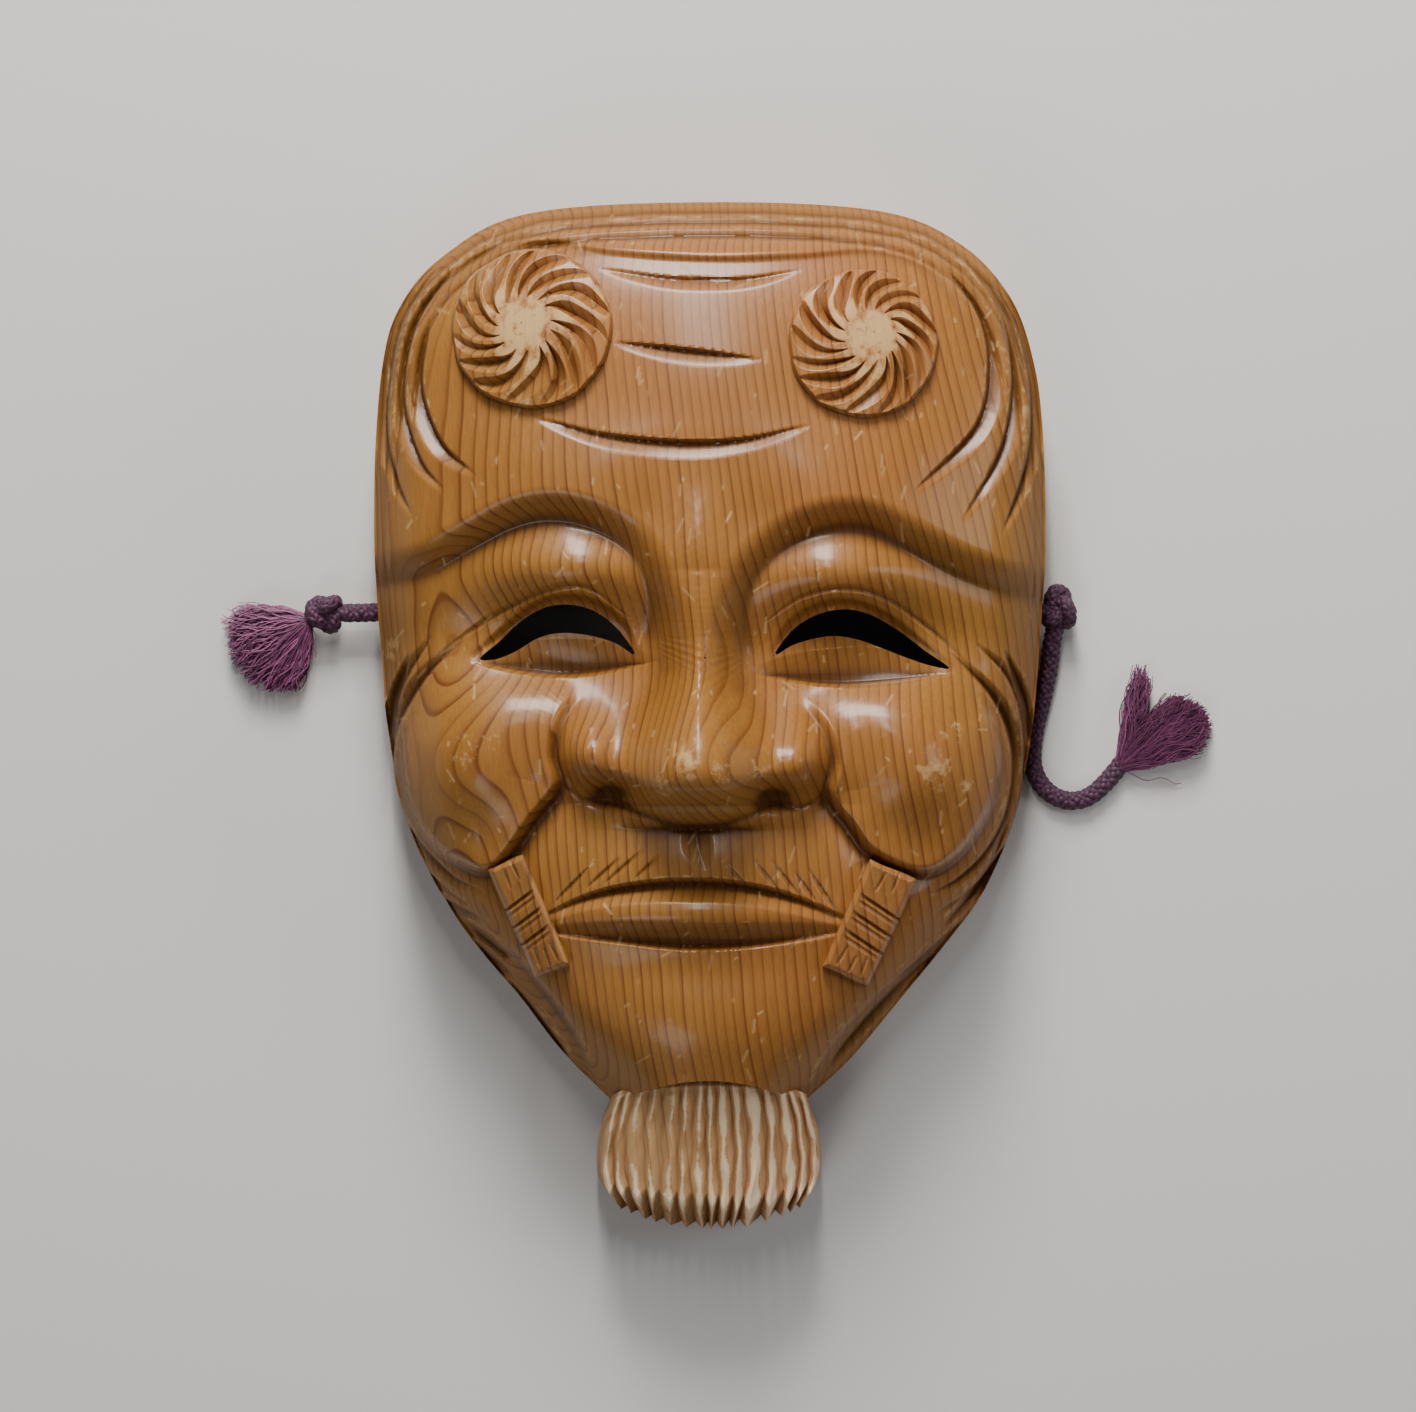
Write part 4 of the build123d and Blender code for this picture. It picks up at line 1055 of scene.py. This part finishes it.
def wood(name, varnish, light, dark, pale):
    n = Nodes(name)
    place = n.add("TexCoord").outputs["Object"]
    year, turned, year_number = ring_pattern(n, place)
    line = n.ramp(year, [(0.0, (0.05,) * 3), (0.45, (0.10,) * 3), (0.74, (0.42,) * 3),
                         (0.88, (1.0,) * 3), (0.955, (0.9,) * 3), (1.0, (0.05,) * 3)])
    vary = n.add("TexWhiteNoise", {"W": year_number}, noise_dimensions="1D").outputs[0]
    line = n.times(line, n.plus(n.times(vary, 0.55), 0.42))
    fibre_place = n.add("Mapping", {"Vector": turned, "Scale": (1.0, 0.03, 1.0)}).outputs[0]
    fibre = n.noise(fibre_place, 1900.0, 3.0, 0.6)
    cloud = n.noise(place, 22.0, 3.0, 0.55)
    speck = n.noise(place, 420.0, 4.0, 0.65)
    area = n.noise(place, 13.0, 2.0, 0.5)
    blotch = n.noise(place, 210.0, 5.0, 0.75)
    cavity, worn, scratch, inside = (n.attribute(mark) for mark in WOOD_MARKS)

    tone = n.mix(cloud, light, tinted(light, 0.74, 0.62, 0.5))
    tone = n.mix(n.times(n.minus(area, 0.42), 3.0, clamp=True), tone, tinted(light, 1.0, 0.80, 0.95))
    colour = n.mix(n.times(line, 0.95), tone, dark)
    colour = n.mix(n.times(n.minus(fibre, 0.35, clamp=True), 0.75), colour, dark)
    # Painted shade with grime: the colour goes dark where that mark is high.
    colour = n.mix(n.times(cavity, 0.72, clamp=True), colour, tinted(dark, 0.30, 0.27, 0.30))
    mottled = n.plus(n.times(speck, 0.35), n.times(blotch, 0.75))
    patchy = n.times(n.minus(n.plus(worn, mottled), 0.93), 6.0, clamp=True)
    patchy = n.times(patchy, n.times(worn, 1.6, clamp=True), clamp=True)
    # Pale where the wood is rubbed or scratched, and where painted highlights are carried in with the wear,
    # with less coat there.
    bare = n.math("MAXIMUM", patchy, n.times(scratch, 0.62))
    colour = n.mix(n.times(bare, 0.78), colour, pale)
    # Bare wood inside the hollow, and painted shade with a thinner coat on the flanks and the side wall.
    colour = n.mix(n.times(inside, 0.45), colour, tinted(light, 0.62, 0.62, 0.62))

    rough = n.plus(n.times(fibre, 0.12), 0.42 if varnish else 0.6)
    rough = n.plus(n.plus(rough, n.times(bare, 0.18)), n.times(inside, 0.2))
    grooved = n.plus(n.times(year, -0.5), n.times(fibre, 0.5))
    grooved = n.plus(n.minus(grooved, n.times(scratch, 0.8)), n.times(speck, 0.2))
    bump = n.add("Bump", {"Strength": 0.5, "Distance": 0.0002, "Height": grooved})
    coat = 0.08
    if varnish:
        coat = n.minus(0.5, n.plus(n.times(bare, 0.55), n.times(inside, 0.8)), clamp=True)
    shader = n.add("BsdfPrincipled", {
        "Base Color": colour, "Roughness": rough, "Normal": bump.outputs[0], "Coat Weight": coat,
        "Coat Roughness": 0.19, "Coat IOR": 1.36, "Specular IOR Level": 0.2})
    return n.finish(shader.outputs[0])


def thread(name, dark, light, by_tint):
    n = Nodes(name)
    place = n.add("TexCoord").outputs["Object"]
    fuzz, blot = n.noise(place, 1500.0, 3.0, 0.6), n.noise(place, 130.0, 2.0, 0.5)
    share = n.times(n.minus(fuzz, 0.38, clamp=True), 1.6, clamp=True)
    if by_tint:
        share = n.plus(n.times(n.attribute("tint"), 0.75), n.times(share, 0.3), clamp=True)
    colour = n.mix(n.times(blot, 0.4), n.mix(share, dark, light), dark)
    bump = n.add("Bump", {"Strength": 0.5, "Distance": 0.0001, "Height": fuzz})
    shader = n.add("BsdfPrincipled", {
        "Base Color": colour, "Normal": bump.outputs[0], "Roughness": 0.62, "Sheen Weight": 0.12,
        "Sheen Roughness": 0.4})
    return n.finish(shader.outputs[0])


varnished = wood("varnished_wood", True, (0.345, 0.165, 0.033, 1), (0.115, 0.030, 0.005, 1),
                 (0.60, 0.41, 0.19, 1))
carved = wood("carved_wood", True, (0.375, 0.183, 0.045, 1), (0.125, 0.036, 0.007, 1),
              (0.58, 0.38, 0.17, 1))
bare_wood = wood("bare_wood", False, (0.60, 0.38, 0.18, 1), (0.36, 0.17, 0.065, 1),
                 (0.86, 0.70, 0.46, 1))
cord_yarn = thread("cord_yarn", (0.026, 0.005, 0.020, 1), (0.20, 0.050, 0.140, 1), False)
tassel_yarn = thread("tassel_yarn", (0.05, 0.008, 0.034, 1), (0.38, 0.095, 0.245, 1), True)


# ---- put together ----
def finish_piece(piece, material, body, slot, *nodes):
    piece.data.materials.append(material)
    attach(piece, body)
    if nodes:
        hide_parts(*nodes)
    return piece


finish_piece(build_mask(), varnished, "mask", "varnished_wood", "mask_body")
for side in ("left", "right"):
    finish_piece(build_rosette(side), carved, "mask", "varnished_wood", f"brow_rosette_{side}")
    finish_piece(build_tie(side), carved, "mask", "varnished_wood", f"tie_block_{side}")
finish_piece(build_beard(), bare_wood, "mask", "worn_wood", "beard")

hanging, hanging_path = build_cord("hanging_braid", HANGING_ROUTE)
finish_piece(hanging, cord_yarn, "loop", "cord", "hanging_cord")
tail, tail_path = build_cord("tail_braid", TAIL_ROUTE)
finish_piece(tail, cord_yarn, "right_end", "cord", "cord_tail")
knot_left = finish_piece(build_knot("knot_left_braid", KNOT_LEFT, 4.9, 0.3, 0.5, 1.15,
                                    [(-76.4, HOLE_Y, HOLE_Z), (-85.0, 20.0, 4.9)]),
                         cord_yarn, "mask", "cord", "knot_left")
knot_right = finish_piece(build_knot("knot_right_braid", (73.5, 22.6, 5.8), 4.7, 1.1, -0.4, 1.4,
                                     [(69.0, HOLE_Y, HOLE_Z)]),
                          cord_yarn, "mask", "cord", "knot_right")
left_tassel = finish_piece(
    build_tassel("tassel_left_threads", (-84.6, 20.4, 5.0), (-0.82, -0.57), 19.0, 1.1, 5.4, 1900, 8, -0.55),
    tassel_yarn, "left_end", "tassel", "tassel_left")
right_tassel = finish_piece(
    build_tassel("tassel_right_threads", (86.4, -10.4, 2.3), (0.84, 0.54), 22.5, 0.5, 4.4, 1900, 8, 0.75),
    tassel_yarn, "right_end", "tassel", "tassel_right")


# ---- floor and light ----
def area_light(name, place, aim, size, power, colour=(1, 1, 1)):
    data = bpy.data.lights.new(name, "AREA")
    data.shape = "RECTANGLE"
    data.size, data.size_y = size
    data.energy = power
    data.color = colour
    lamp = bpy.data.objects.new(name, data)
    lamp.location = place
    lamp.rotation_mode = "QUATERNION"
    lamp.rotation_quaternion = (Vector(aim) - Vector(place)).to_track_quat("-Z", "Y")
    bpy.context.scene.collection.objects.link(lamp)


area_light("key", (-0.05, 0.84, 0.56), (0, 0.02, 0.03), (0.26, 0.36), 14.4, (1.0, 0.97, 0.93))
area_light("strip", (-0.02, 0.60, 0.86), (0, 0.02, 0.03), (0.05, 0.62), 4.5, (1.0, 0.98, 0.95))
area_light("side", (0.75, 0.1, 0.55), (0, 0, 0.02), (0.3, 0.3), 1.4, (0.95, 0.97, 1.0))
area_light("fill", (-0.35, -0.65, 0.85), (0, -0.04, 0.02), (0.4, 0.4), 2.2)

world = bpy.data.worlds.new("studio")
world.use_nodes = True
world.node_tree.nodes["Background"].inputs[0].default_value = (0.9, 0.93, 1.0, 1)
world.node_tree.nodes["Background"].inputs[1].default_value = 0.13
bpy.context.scene.world = world

floor_nodes = Nodes("floor")
floor_shader = floor_nodes.add("BsdfPrincipled", {"Base Color": (0.62, 0.61, 0.59, 1),
                                                  "Roughness": 0.85})
floor_mesh = bpy.data.meshes.new("floor")
floor_mesh.from_pydata([(-3, -3, 0), (3, -3, 0), (3, 3, 0), (-3, 3, 0)], [], [(0, 1, 2, 3)])
floor_mesh.materials.append(floor_nodes.finish(floor_shader.outputs[0]))
floor = bpy.data.objects.new("floor", floor_mesh)
bpy.context.scene.collection.objects.link(floor)
